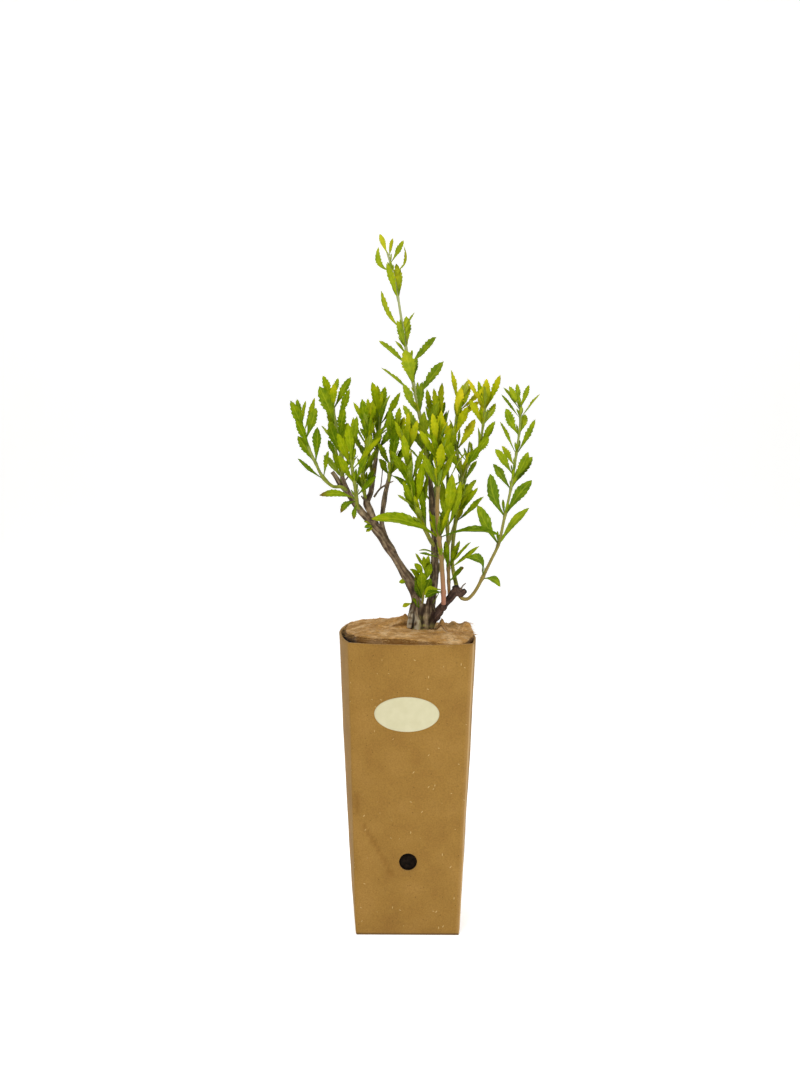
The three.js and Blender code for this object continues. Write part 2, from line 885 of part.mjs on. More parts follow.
    stems: [
      [
        [-53, 0, 370, 1.5],
        [-58, 12, 383, 1.4],
        [-64, 22, 402, 1.2],
        [-67, 27, 424, 0.8],
      ],
    ],
    leaves: [],
    pairs: [386, 420, 15, 26, 35],
  },
  {
    name: "back_right_shoot",
    seed: 18,
    stems: [
      [
        [22, -1, 304, 1.7],
        [30, 14, 322, 1.6],
        [40, 26, 350, 1.4],
        [47, 32, 382, 1.2],
        [51, 34, 418, 0.8],
      ],
    ],
    leaves: [],
    pairs: [352, 414, 16, 28, 50],
  },
];

// Where a stem passes a height, and its way up there
function stemPlace(rows, height) {
  const points = rows.map(([x, y, z]) => new THREE.Vector3(x, y, z));
  const above = points.findIndex((p, k) => k > 0 && points[k - 1].z <= height && height <= p.z);
  const upper = points.at(above);
  const lower = points.at(above - 1);
  const share = (height - lower.z) / (upper.z - lower.z);
  return { foot: lower.clone().lerp(upper, share), up: upper.clone().sub(lower).normalize() };
}

// A toothed blade, folded along its rib. A positive bow arches it over, a negative one lets it
// leave the stem flatter and rise to its tip. Its two faces meet at the edge.
function leafGeometry(axis, up, [, tipX, tipY, tipZ, width, face = USUAL_FACE, bow = USUAL_BOW]) {
  const side = new THREE.Vector3(tipX, tipY, tipZ).sub(axis);
  side.addScaledVector(up, -side.dot(up)).normalize();
  const foot = axis.clone().addScaledVector(side, ROOT_OFFSET);
  const edge = width < SMALL_LEAF ? SMALL_EDGE : LARGE_EDGE;
  const ribShares = width < SMALL_LEAF ? SMALL_RIB : LARGE_RIB;
  const reach = new THREE.Vector3(tipX, tipY, tipZ).sub(foot);
  const length = reach.length();
  const along = reach.clone().normalize();
  const upper = up.clone().add(new THREE.Vector3(0, -face, 0));
  upper.addScaledVector(along, -upper.dot(along)).normalize();
  const aside = new THREE.Vector3().crossVectors(along, upper);
  const rise = up.clone().addScaledVector(along, -up.dot(along)).normalize();
  const ribPoint = (share, lift) =>
    foot
      .clone()
      .addScaledVector(reach, share)
      .addScaledVector(rise, 4 * bow * length * share * (1 - share))
      .addScaledVector(upper, lift);
  const edgePoint = ([share, spread], sign) => {
    const half = (spread * width) / 2;
    return ribPoint(share, BLADE_FOLD * half).addScaledVector(aside, sign * half);
  };
  const points = [];
  const inner = ribShares.slice(0, -1);
  const outer = edge.slice(0, -1);
  points.push(...inner.map((share) => ribPoint(share, BLADE / 2)));
  points.push(...inner.map((share) => ribPoint(share, -BLADE / 2)));
  points.push(...outer.map((row) => edgePoint(row, 1)));
  points.push(...outer.map((row) => edgePoint(row, -1)));
  points.push(ribPoint(1, 0));
  const tip = points.length - 1;
  const under = inner.length;
  const edgeStart = [2 * inner.length, 2 * inner.length + outer.length];
  const triangles = [];
  const ribIndex = (k, lower) => (k >= inner.length ? tip : k + (lower ? under : 0));
  const edgeIndex = (k, side) => (k >= outer.length ? tip : edgeStart[side] + k);
  for (const side of [0, 1])
    for (const lower of [false, true]) {
      let rib = 0;
      let step = 0;
      while (rib < inner.length || step < outer.length) {
        const nextRib = rib < inner.length ? ribShares[rib + 1] : Infinity;
        const nextEdge = step < outer.length ? edge[step + 1][0] : Infinity;
        const a = ribIndex(rib, lower);
        const b = edgeIndex(step, side);
        const ribMoves = nextRib < nextEdge;
        const c = ribMoves ? ribIndex(rib + 1, lower) : edgeIndex(step + 1, side);
        if (ribMoves) rib += 1;
        else step += 1;
        if (a === c || b === c || a === b) continue;
        triangles.push(...((side === 0) === lower ? [a, c, b] : [a, b, c]));
      }
    }
  const [left, right] = edgeStart;
  triangles.push(0, under, left, 0, right, under);
  return geometryFrom(points, triangles);
}

// Opposite pairs, each a quarter turn from the one below, as on every shoot of this plant. The
// spread from the stem is in degrees, and the width is a share of the leaf's length.
const PAIR = {
  spread: 36,
  spreadDraw: 14,
  turnDraw: 0.4,
  shortest: 0.9,
  lengthDraw: 0.2,
  taper: 0.3,
  width: 0.3,
  faceDraw: 0.3,
};

function pairedLeaves(shoot) {
  if (!shoot.pairs) return [];
  const [first, last, step, length, turn] = shoot.pairs;
  const draw = seededDraw(shoot.seed);
  const rows = [];
  let angle = THREE.MathUtils.degToRad(turn);
  for (let height = first; height <= last; height += step) {
    const { foot } = stemPlace(shoot.stems[0], height);
    const reach = length * (1 - (PAIR.taper * (height - first)) / (last - first));
    for (const side of [0, Math.PI]) {
      const spread = THREE.MathUtils.degToRad(PAIR.spread + PAIR.spreadDraw * draw());
      const azimuth = angle + side + PAIR.turnDraw * (draw() - 0.5);
      const long = reach * (PAIR.shortest + PAIR.lengthDraw * draw());
      const outward = long * Math.sin(spread);
      const tip = [
        foot.x + outward * Math.cos(azimuth),
        foot.y + outward * Math.sin(azimuth),
        foot.z + long * Math.cos(spread),
      ];
      rows.push([height, ...tip, long * PAIR.width, PAIR.faceDraw * draw()]);
    }
    angle += Math.PI / 2;
  }
  return rows;
}

function buildShoot(shoot) {
  const solids = shoot.stems.map((rows) => solidOf(stemGeometry(rows, SHOOT_SIDES, SHOOT_STEPS)));
  const addLeaves = (rows, stem) => {
    for (const row of rows) {
      const { foot, up } = stemPlace(stem, row[0]);
      solids.push(solidOf(leafGeometry(foot, up, row)));
    }
  };
  addLeaves([...shoot.leaves, ...pairedLeaves(shoot)], shoot.stems[0]);
  if (shoot.secondLeaves) addLeaves(shoot.secondLeaves, shoot.stems[1]);
  return fuse(solids);
}

const part = new THREE.Group();

function addPiece(name, solid, color, roughness) {
  const material = new THREE.MeshStandardMaterial({ color, roughness, metalness: 0 });
  const mesh = new THREE.Mesh(geometryOf(solid), material);
  mesh.name = name;
  part.add(mesh);
}

addPiece("carton", buildCarton(), 0xa17a3e, 0.85);
addPiece("label", buildLabel(), 0xdcdcc0, 0.6);
addPiece("soil", buildSoil(), 0x2b211a, 1);
addPiece("fibre_mat", buildMat(), 0x9e7a4b, 0.95);
addPiece("woody_crown", woodySolid(CROWN_STEMS, 0), 0x75685c, 0.9);
const crownRoom = woodySolid(CROWN_STEMS, GAP);
addPiece("dark_side_branch", largestBody(woodySolid(SIDE_BRANCH, 0).subtract(crownRoom)), 0x33221c, 0.9);
const woodRoom = crownRoom.add(woodySolid(SIDE_BRANCH, GAP));
for (const shoot of SHOOTS) {
  const body = largestBody(buildShoot(shoot).subtract(woodRoom));
  addPiece(shoot.name, body, 0x7f9a1e, 0.6);
}

export default part;
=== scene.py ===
# %% [markdown]
# # A young sage in a fibre pot
#
# This lesson dresses a measured solid model of a potted shrub. The solids give every place and
# size; each cell below swaps one of them for a finer surface that keeps its form. All surfaces
# are grids worked out with numpy, in millimetres, and go into Blender in metres.

import math

import bmesh
import bpy
import numpy as np
from mathutils import Matrix, Vector


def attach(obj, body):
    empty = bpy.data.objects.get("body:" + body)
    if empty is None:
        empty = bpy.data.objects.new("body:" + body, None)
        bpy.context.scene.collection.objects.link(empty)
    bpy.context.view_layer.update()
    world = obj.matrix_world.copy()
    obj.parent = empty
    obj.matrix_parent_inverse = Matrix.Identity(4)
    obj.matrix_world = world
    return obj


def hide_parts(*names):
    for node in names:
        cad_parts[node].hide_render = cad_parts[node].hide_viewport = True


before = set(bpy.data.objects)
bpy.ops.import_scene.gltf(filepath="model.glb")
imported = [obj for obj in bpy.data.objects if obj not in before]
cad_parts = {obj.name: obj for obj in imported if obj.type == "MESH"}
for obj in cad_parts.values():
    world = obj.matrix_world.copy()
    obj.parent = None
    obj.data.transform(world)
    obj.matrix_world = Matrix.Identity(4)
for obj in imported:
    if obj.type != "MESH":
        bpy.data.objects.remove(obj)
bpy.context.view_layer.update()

# %% [markdown]
# ## Tools for surfaces
#
# Every piece is made of grids: rows of points along the piece, and points round or across it.
# One helper joins a grid's points with four sided faces, another collects several grids into
# one mesh with its own coordinates for patterns and numbers for colour. Points could be added
# one by one with bmesh, but whole arrays are shorter to read and much faster.

# %% Grid faces and meshes
MM = 0.001
SEAM = 1e-4 * MM


def grid_faces(rows, columns, start=0, wrap=False, flip=False):
    """Four sided faces between neighbouring points of a grid that is stored row by row."""
    across = columns if wrap else columns - 1
    i, j = np.meshgrid(np.arange(rows - 1), np.arange(across), indexing="ij")
    k = (j + 1) % columns
    faces = np.stack([i * columns + j, i * columns + k, (i + 1) * columns + k, (i + 1) * columns + j], -1)
    faces = faces.reshape(-1, 4) + start
    return faces[:, ::-1] if flip else faces


def put_in_scene(name, data):
    """An object with this mesh, lamp or camera, linked to the scene."""
    made = bpy.data.objects.new(name, data)
    bpy.context.scene.collection.objects.link(made)
    return made


class Sheaf:
    """Points, faces, pattern coordinates and colour numbers that are gathered into one mesh."""

    def __init__(self):
        self.points, self.faces, self.slots, self.uv, self.numbers = [], [], [], [], {}
        self.count = 0

    def add(self, points, faces, slot=0, uv=None, **numbers):
        """Adds points with faces that count from this grid's own first point."""
        points = np.asarray(points, float).reshape(-1, 3)
        faces = np.asarray(faces)
        self.points.append(points)
        self.faces += (faces + self.count).tolist()
        self.slots += [slot] * len(faces) if np.isscalar(slot) else list(slot)
        self.uv.append(np.zeros((len(points), 2)) if uv is None else np.asarray(uv, float).reshape(-1, 2))
        for name in set(self.numbers) | set(numbers):
            kept = self.numbers.setdefault(name, [np.zeros(self.count)])
            kept.append(np.broadcast_to(np.ravel(numbers.get(name, 0.0)), len(points)))
        self.count += len(points)

    def piece(self, name, materials, replaces=None, merge=False):
        """Makes the mesh object, closes its seams, and ties it to the frame."""
        mesh = bpy.data.meshes.new(name)
        points = np.concatenate(self.points) * MM
        mesh.from_pydata(points.tolist(), [], self.faces)
        mesh.polygons.foreach_set("material_index", self.slots)
        mesh.polygons.foreach_set("use_smooth", [True] * len(self.faces))
        corner = np.zeros(len(mesh.loops), int)
        mesh.loops.foreach_get("vertex_index", corner)
        uv = np.concatenate(self.uv)[corner]
        mesh.uv_layers.new(name="Pattern").data.foreach_set("uv", uv.ravel())
        for number, parts in self.numbers.items():
            values = np.concatenate(parts).astype(np.float32)
            mesh.attributes.new(number, "FLOAT", "POINT").data.foreach_set("value", values)
        if "margin" in self.numbers:
            pairs = np.zeros(len(mesh.edges) * 2, int)
            mesh.edges.foreach_get("vertices", pairs)
            margin = np.concatenate(self.numbers["margin"])[pairs.reshape(-1, 2)].min(1) > 0.5
            mesh.attributes.new("sharp_edge", "BOOLEAN", "EDGE").data.foreach_set("value", margin)
        if merge:
            seams = bmesh.new()
            seams.from_mesh(mesh)
            bmesh.ops.remove_doubles(seams, verts=seams.verts, dist=SEAM)
            seams.to_mesh(mesh)
            seams.free()
        mesh.update()
        made = put_in_scene(name, mesh)
        for material in materials:
            mesh.materials.append(material)
        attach(made, "root")
        if replaces:
            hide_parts(replaces)
        size = (points.max(0) - points.min(0)) / MM
        print(f"{name}: {len(self.faces)} faces, {size.round(1).tolist()} mm")
        return made


# %% [markdown]
# ## Unevenness
#
# Bark, board and fibre are uneven at several sizes. Value noise gives that as a formula: every
# corner of a lattice has its own fixed number, and a point blends the eight numbers round it.
# Adding the noise at a few sizes makes lumps with finer lumps on them.

# %% Value noise
def lattice_number(cell, seed):
    """A fixed number from 0 to 1 for each lattice corner: the fraction of a large sine."""
    mixed = np.sin(cell @ np.array([127.1, 311.7, 74.7]) + seed * 53.3) * 43758.5453
    return mixed - np.floor(mixed)


def noise(points, size, seed=0):
    """Blends the eight lattice numbers round each point with a smooth step, from -1 to 1."""
    place = np.asarray(points, float) / size
    cell = np.floor(place)
    share = place - cell
    share = share * share * (3 - 2 * share)
    total = np.zeros(place.shape[:-1])
    for corner in np.ndindex(2, 2, 2):
        weight = np.prod(np.where(corner, share, 1 - share), axis=-1)
        total += weight * lattice_number(cell + corner, seed)
    return 2 * total - 1


def rough(points, size, seed=0, octaves=3):
    """Noise at a size and then at halves of it, each half as strong as the one before."""
    return sum(noise(points, size / 2**k, seed + k) / 2**k for k in range(octaves))


def smooth_step(low, high, value):
    """0 below low, 1 above high, and an even S shaped rise between them."""
    share = np.clip((np.asarray(value, float) - low) / (high - low), 0, 1)
    return share * share * (3 - 2 * share)


# %% [markdown]
# ## Camera and light
#
# The photograph was taken from a little above the leaves with a short telephoto lens. The
# camera's place was worked out from the pot's corners. The light is that of a white studio
# tent: a large soft source at the upper left, a weaker one at the right, and pale surroundings.

# %% Camera
CAMERA_PLACE = (-31.7, -1451.7, 501.9)
CAMERA_TURN = 0.88
CAMERA_PITCH = 6.37
CAMERA_ROLL = 0.61
LENS = 57.5
SENSOR = 36

camera_data = bpy.data.cameras.new("studio_camera")
camera_data.lens = LENS
camera_data.sensor_width = SENSOR
camera_data.clip_start = 10 * MM
camera = put_in_scene("studio_camera", camera_data)
camera.matrix_world = (
    Matrix.Translation(Vector(CAMERA_PLACE) * MM)
    @ Matrix.Rotation(math.radians(-CAMERA_TURN), 4, "Z")
    @ Matrix.Rotation(math.radians(90 - CAMERA_PITCH), 4, "X")
    @ Matrix.Rotation(math.radians(CAMERA_ROLL), 4, "Z")
)
bpy.context.scene.camera = camera
print("camera at", CAMERA_PLACE, "mm with a lens of", LENS, "mm")

# %% Colours
def linear(code):
    """An sRGB hex colour as linear light: the power law of the sRGB standard."""
    parts = np.array([int(code[k : k + 2], 16) / 255 for k in (1, 3, 5)])
    light = np.where(parts <= 0.04045, parts / 12.92, ((parts + 0.055) / 1.055) ** 2.4)
    return (*light.tolist(), 1.0)


# %% Lamps and surroundings
ROOM, ROOM_STRENGTH = "#f4f5f6", 0.12


def lamp(name, place, aim, size, power, colour):
    """A square soft lamp at a place in millimetres that shines at another place."""
    data = bpy.data.lights.new(name, "AREA")
    data.shape = "SQUARE"
    data.size = size * MM
    data.energy = power
    data.color = linear(colour)[:3]
    made = put_in_scene(name, data)
    made.location = Vector(place) * MM
    made.rotation_euler = (Vector(aim) - Vector(place)).to_track_quat("-Z", "Y").to_euler()
    print(f"{name}: {power} W, {size} mm wide")


lamp("key_lamp", (-500, -1500, 1700), (0, 0, 300), 600, 28, "#fffaf2")
lamp("side_lamp", (1300, -600, 900), (0, 0, 300), 900, 9, "#f6faff")
lamp("top_lamp", (100, 300, 1700), (0, 0, 350), 900, 8, "#ffffff")

world = bpy.data.worlds.new("pale_room")
bpy.context.scene.world = world
world.use_nodes = True
background = world.node_tree.nodes["Background"]
background.inputs["Color"].default_value = linear(ROOM)
background.inputs["Strength"].default_value = ROOM_STRENGTH
bpy.context.scene.view_settings.view_transform = "Standard"

# %% [markdown]
# ## Materials
#
# Each finish starts from the real stuff: recycled board, coated label paper, pressed coconut
# fibre, peat compost, young bark and leaf. The patterns are noises whose scale comes from a
# real size in millimetres. One helper adds a node, sets it and links it; three more lay one
# colour over another, darken it by a pattern, and finish the shader.

# %% Helpers for materials
def node(tree, kind, inputs=None, ramp=None, out=0, **settings):
    """Adds a node, sets its fields, gives each input a value or a link, and returns one of its
    outputs. A ramp is a list of places from 0 to 1, each with its colour."""
    made = tree.nodes.new(kind)
    for field, value in settings.items():
        setattr(made, field, value)
    for key, value in (inputs or {}).items():
        if isinstance(value, bpy.types.NodeSocket):
            tree.links.new(value, made.inputs[key])
        else:
            made.inputs[key].default_value = value
    if ramp:
        stops = made.color_ramp.elements
        stops[0].position, stops[-1].position = ramp[0][0], ramp[-1][0]
        for place, _ in ramp[1:-1]:
            stops.new(place)
        for stop, (_, colour) in zip(stops, ramp):
            stop.color = linear(colour)
    return made.outputs[out]


def per_mm(size):
    """A noise node's scale for features of this size in millimetres."""
    return 1 / (size * MM)


def new_material(name):
    """An empty node material with its shader, and the object's own coordinates in metres."""
    material = bpy.data.materials.new(name)
    material.use_nodes = True
    tree = material.node_tree
    return material, tree, tree.nodes["Principled BSDF"], node(tree, "ShaderNodeTexCoord", out="Object")


def grained(tree, colour, pattern, low, high, dark, light):
    """Multiplies a colour by a pattern, whose values from low to high become dark to light."""
    grain = node(tree, "ShaderNodeMapRange", {0: pattern, 1: low, 2: high, 3: dark, 4: light})
    mixed = {0: 1.0, 6: colour, 7: grain}
    return node(tree, "ShaderNodeMix", mixed, data_type="RGBA", blend_type="MULTIPLY", out=2)


def coated(tree, colour, coats):
    """Lays other colours over a colour, one after the other. The share of each is the output of a
    node, or the name of a number that the mesh carries at its points."""
    for share, shade in coats:
        if isinstance(share, str):
            share = node(tree, "ShaderNodeAttribute", attribute_name=share, out="Fac")
        mixed = {0: share, 6: colour, 7: linear(shade)}
        colour = node(tree, "ShaderNodeMix", mixed, data_type="RGBA", blend_type="MIX", out=2)
    return colour


def finish_shader(tree, shader, numbers, colour=None, relief=None):
    """Sets on the shader's own sockets what is the same all over, and links its colour and its
    relief, which is a pattern with its strength and its depth in millimetres."""
    if colour is not None:
        tree.links.new(colour, shader.inputs["Base Color"])
    if relief is not None:
        pattern, strength, depth = relief
        bump = {"Height": pattern, "Strength": strength, "Distance": depth * MM}
        tree.links.new(node(tree, "ShaderNodeBump", bump), shader.inputs["Normal"])
    for socket, value in numbers.items():
        shader.inputs[socket].default_value = value


# %% [markdown]
# ### Recycled board
#
# The pot is grey and brown waste paper pressed into board about two millimetres thick. Its
# face is dull, mottled in patches of a centimetre, full of straw coloured and dark flecks, and
# slightly furry, so it turns paler where it is seen edge on. Its single fibres are too fine to
# show, so they are drawn about a millimetre wide.

# %% Board, its cut edge and the label's paper
BOARD_FACE, BOARD_LIGHT, BOARD_DARK = "#957135", "#9c773b", "#8e6a31"
STRAW, SPECK_AND_FOOT_SHADOW, STAIN, FOLD_HIGHLIGHT, FUR = "#c9ad72", "#52391c", "#744f1c", "#c9a97c", "#e8dccb"
BOARD_PATCH, BOARD_FIBRE = 26, 1.2
FOOT_SHADOW_HEIGHTS = (2.2 * MM, 1.1 * MM)
# Flecks: their turn, how many times longer than wide, their spacing, size and shade
FLECKS = [
    (0.4, 3.0, 6.0, 0.07, STRAW), (-0.9, 3.0, 7.0, 0.07, STRAW), (1.6, 3.0, 8.0, 0.06, STRAW),
    (0.0, 1.0, 3.4, 0.08, SPECK_AND_FOOT_SHADOW), (0.0, 1.4, 5.5, 0.08, SPECK_AND_FOOT_SHADOW),
]


def make_board():
    """Recycled paper board: patches, short fibres, flecks, a water stain, a painted highlight on
    the near right fold, and a painted shadow along the foot.
    """
    material, tree, shader, place = new_material("recycled_board")
    mottle = {"Vector": place, "Scale": per_mm(BOARD_PATCH), "Detail": 5.0}
    patches = node(tree, "ShaderNodeTexNoise", mottle)
    shades = [(0.3, BOARD_DARK), (0.5, BOARD_FACE), (0.72, BOARD_LIGHT)]
    colour = node(tree, "ShaderNodeValToRGB", {0: patches}, shades)
    fibres = node(tree, "ShaderNodeTexNoise", {"Vector": place, "Scale": per_mm(BOARD_FIBRE), "Detail": 3.0})
    colour = grained(tree, colour, fibres, low=0.3, high=0.7, dark=0.86, light=1.11)
    for turn, stretch, spacing, size, shade in FLECKS:
        laid = node(
            tree, "ShaderNodeMapping",
            {0: place, "Rotation": (0.0, turn, 0.0), "Scale": (stretch, 1, 1), "Location": (spacing, 0, 0)},
            vector_type="TEXTURE",
        )
        away = node(tree, "ShaderNodeTexVoronoi", {"Vector": laid, "Scale": per_mm(spacing)}, out="Distance")
        fleck = node(tree, "ShaderNodeMapRange", {0: away, 1: size, 2: size * 0.5, 4: 0.8})
        colour = coated(tree, colour, [(fleck, shade)])
    # Painted shadow: a dark line along the pot's foot, where it stands on the floor
    height = node(tree, "ShaderNodeSeparateXYZ", {0: place}, out=2)
    foot_shadow = node(tree, "ShaderNodeMapRange", {0: height, 1: FOOT_SHADOW_HEIGHTS[0], 2: FOOT_SHADOW_HEIGHTS[1], 4: 0.7})
    colour = coated(tree, colour, [("stain", STAIN), ("rubbed", FOLD_HIGHLIGHT), (foot_shadow, SPECK_AND_FOOT_SHADOW)])
    numbers = {
        "Roughness": 0.9, "Specular IOR Level": 0.15,
        "Sheen Weight": 0.08, "Sheen Roughness": 0.5, "Sheen Tint": linear(FUR),
    }
    finish_shader(tree, shader, numbers, colour, (fibres, 0.35, 0.15))
    return material


def make_plain_noise(name, first, second, size, roughness, depth):
    """Two shades mixed by noise of one size, with bumps of the same noise."""
    material, tree, shader, place = new_material(name)
    mottle = node(tree, "ShaderNodeTexNoise", {"Vector": place, "Scale": per_mm(size), "Detail": 4.0})
    colour = node(tree, "ShaderNodeValToRGB", {0: mottle}, [(0.34, first), (0.66, second)])
    numbers = {"Roughness": roughness, "Specular IOR Level": 0.12}
    finish_shader(tree, shader, numbers, colour, (mottle, 0.5, depth))
    return material


board = make_board()
board_edge = make_plain_noise("cut_board_edge", "#8a6a3a", "#a8875a", 1.5, 0.95, 0.3)
label_paper = make_plain_noise("coated_label_paper", "#c9c4a1", "#cec9a8", 6, 0.5, 0.03)
print("pot materials:", [board.name, board_edge.name, label_paper.name])

# %% [markdown]
# ### Pressed fibre and compost
#
# The mulch mat is coconut fibre pressed flat: tan, matt, with short darker strands in every
# direction, and dark in its cut side and under its lips, where little light falls between the
# strands. Real strands are a quarter of a millimetre thick; they are drawn almost a millimetre
# wide, so that they show. The compost under the mat is dark peat with crumbs of bark, drawn
# nearly black as painted shade for where it shows, in the drain hole and at the rim's corner.

# %% Fibre mat and compost
MAT_TAN, MAT_PALE, MAT_DEEP, MAT_SIDE = "#b68b50", "#d4b283", "#9b7038", "#4a2a06"
MAT_PATCH, MAT_STRAND = 9, 0.9
STRAND_TURNS = (0.5, 2.1)
STRAND_SHORTNESS = 0.22


def make_mat():
    """Pressed coconut fibre: two crossing sets of thin strands over soft patches."""
    material, tree, shader, place = new_material("pressed_coconut_fibre")
    patches = node(tree, "ShaderNodeTexNoise", {"Vector": place, "Scale": per_mm(MAT_PATCH), "Detail": 5.0})
    shades = [(0.3, MAT_DEEP), (0.5, MAT_TAN), (0.7, MAT_PALE)]
    colour = node(tree, "ShaderNodeValToRGB", {0: patches}, shades)
    strands = []
    for turn in STRAND_TURNS:
        drawn_out = {0: place, "Rotation": (0.0, 0.0, turn), "Scale": (STRAND_SHORTNESS, 1.0, 1.0)}
        laid = node(tree, "ShaderNodeMapping", drawn_out)
        strand = {"Vector": laid, "Scale": per_mm(MAT_STRAND), "Detail": 2.0, "Distortion": 0.6}
        strands.append(node(tree, "ShaderNodeTexNoise", strand))
    crossed = node(tree, "ShaderNodeMath", {0: strands[0], 1: strands[1]}, operation="MAXIMUM")
    colour = grained(tree, colour, crossed, low=0.42, high=0.75, dark=0.62, light=1.35)
    colour = coated(tree, colour, [("side", MAT_SIDE)])
    numbers = {"Roughness": 0.95, "Specular IOR Level": 0.1, "Sheen Weight": 0.05}
    finish_shader(tree, shader, numbers, colour, (crossed, 0.7, 0.5))
    return material


mat_fibre = make_mat()
loose_fibre = make_plain_noise("loose_coconut_fibre", "#a07a45", "#cba66a", 8, 0.9, 0.05)
# The compost's colour is dark peat made nearly black: painted shade for the drain hole and the rim's corner
compost = make_plain_noise("peat_compost", "#0a0705", "#1f1711", 2.5, 1.0, 0.8)
print("filling materials:", [mat_fibre.name, loose_fibre.name, compost.name])

# %% [markdown]
# ### Bark and leaf
#
# Young wood has a thin grey brown bark with long shallow cracks. Where it swells at the ground
# it is whitish or mossy on its ribs, with painted shade, nearly black, in the gaps between them.
# Green stems are waxy, and turn tan or pink towards the wood. A leaf is brighter and yellower the
# younger it is, its veins are paler, and its underside is greyer. The number called tone on each
# leaf says how young it is, from 0 to 1, and carries painted shade too: lower and inner leaves get
# a darker tone. The number called brown says where its tip has dried.

# %% Bark, stem and leaf
# The second colour is painted shade, for the gaps between the ribs at the foot
MOSS, HOLLOW_SHADE = "#9a9350", "#2a170f"
STEM_GREEN, STEM_PALE, STEM_BLOOM, STEM_TAN, STEM_PINK = "#6c7c16", "#8f9a34", "#a8ae80", "#8f6f48", "#a9735f"
LEAF_BLOOM, DRY_LEAF = "#9daa6c", "#6b4a26"
# The blade's pattern: how much lighter its tip is than its foot, by youth and by painted shade
# on the foot, where the rib's shade ends and is full as shares of the blade's width, how far the
# side veins slant forward, and their waves on the blade
TIP_YOUTH_AND_FOOT_SHADE = 0.22
RIB_EDGES = (0.07, 0.02)
VEIN_SLANT, VEIN_WAVES = -0.45, 44.0


def make_bark(name, deep, usual, pale, foot, cut):
    """Bark: long cracks along the stem, patches, a pale or mossy foot, painted shade between ribs, cut ends.
    """
    material, tree, shader, place = new_material(name)
    uv = node(tree, "ShaderNodeUVMap", uv_map="Pattern")
    long = node(tree, "ShaderNodeMapping", {0: uv, "Scale": (1.9, 0.3, 1.0)})
    crack = {"Vector": long, "Scale": 2.6, "Detail": 6.0, "Distortion": 0.9}
    cracks = node(tree, "ShaderNodeTexNoise", crack)
    colour = node(tree, "ShaderNodeValToRGB", {0: cracks}, [(0.32, deep), (0.47, usual), (0.68, pale)])
    patches = node(tree, "ShaderNodeTexNoise", {"Vector": place, "Scale": per_mm(4), "Detail": 4.0})
    colour = grained(tree, colour, patches, low=0.34, high=0.66, dark=0.55, light=1.35)
    colour = coated(tree, colour, [("foot", foot), ("moss", MOSS), ("hollow", HOLLOW_SHADE), ("cut", cut)])
    numbers = {"Roughness": 0.85, "Specular IOR Level": 0.3}
    finish_shader(tree, shader, numbers, colour, (cracks, 0.8, 0.6))
    return material


def make_green_stem():
    """Waxy young stem: grey bloom over green, and tan or pink where it turns to wood."""
    material, tree, shader, place = new_material("waxy_green_stem")
    mottle = node(tree, "ShaderNodeTexNoise", {"Vector": place, "Scale": per_mm(3), "Detail": 3.0})
    colour = node(tree, "ShaderNodeValToRGB", {0: mottle}, [(0.35, STEM_GREEN), (0.65, STEM_PALE)])
    colour = coated(tree, colour, [("bloom", STEM_BLOOM), ("woody", STEM_TAN), ("pink", STEM_PINK)])
    finish_shader(tree, shader, {"Roughness": 0.6, "Specular IOR Level": 0.1, "Sheen Weight": 0.1}, colour)
    return material


def make_leaf(name, stops, vein_shade, vein_strength, roughness):
    """Leaf blade: a colour by youth and painted shade, paler veins from the rib to the edge, and quilted
    relief.
    """
    material, tree, shader, place = new_material(name)
    tone = node(tree, "ShaderNodeAttribute", attribute_name="tone", out="Fac")
    mottle = node(tree, "ShaderNodeTexNoise", {"Vector": place, "Scale": per_mm(6), "Detail": 3.0})
    shift = node(tree, "ShaderNodeMapRange", {0: mottle, 1: 0.3, 2: 0.7, 3: -0.22, 4: 0.02})
    tone = node(tree, "ShaderNodeMath", {0: tone, 1: shift}, operation="ADD")
    uv = node(tree, "ShaderNodeUVMap", uv_map="Pattern")
    u, v = node(tree, "ShaderNodeSeparateXYZ", {0: uv}, out=slice(0, 2))
    tone = node(tree, "ShaderNodeMath", {0: v, 1: TIP_YOUTH_AND_FOOT_SHADE, 2: tone}, operation="MULTIPLY_ADD")
    colour = node(tree, "ShaderNodeValToRGB", {0: tone}, stops)
    across = node(tree, "ShaderNodeMath", {0: u, 1: 0.5}, operation="SUBTRACT")
    aside = node(tree, "ShaderNodeMath", {0: across}, operation="ABSOLUTE")
    edge, full = RIB_EDGES
    rib = node(tree, "ShaderNodeMapRange", {0: aside, 1: edge, 2: full, 3: 0.0, 4: vein_strength})
    slant = node(tree, "ShaderNodeMath", {0: aside, 1: VEIN_SLANT, 2: v}, operation="MULTIPLY_ADD")
    waves = node(tree, "ShaderNodeMath", {0: slant, 1: VEIN_WAVES}, operation="MULTIPLY")
    swing = node(tree, "ShaderNodeMath", {0: waves}, operation="SINE")
    side = node(tree, "ShaderNodeMapRange", {0: swing, 1: 0.72, 2: 1.0, 3: 0.0, 4: vein_strength * 0.6})
    veins = node(tree, "ShaderNodeMath", {0: rib, 1: side}, operation="MAXIMUM")
    colour = coated(tree, colour, [(veins, vein_shade), ("bloom", LEAF_BLOOM), ("brown", DRY_LEAF)])
    numbers = {"Roughness": roughness, "Specular IOR Level": 0.03}
    finish_shader(tree, shader, numbers, colour, (swing, 0.25, 0.25))
    return material


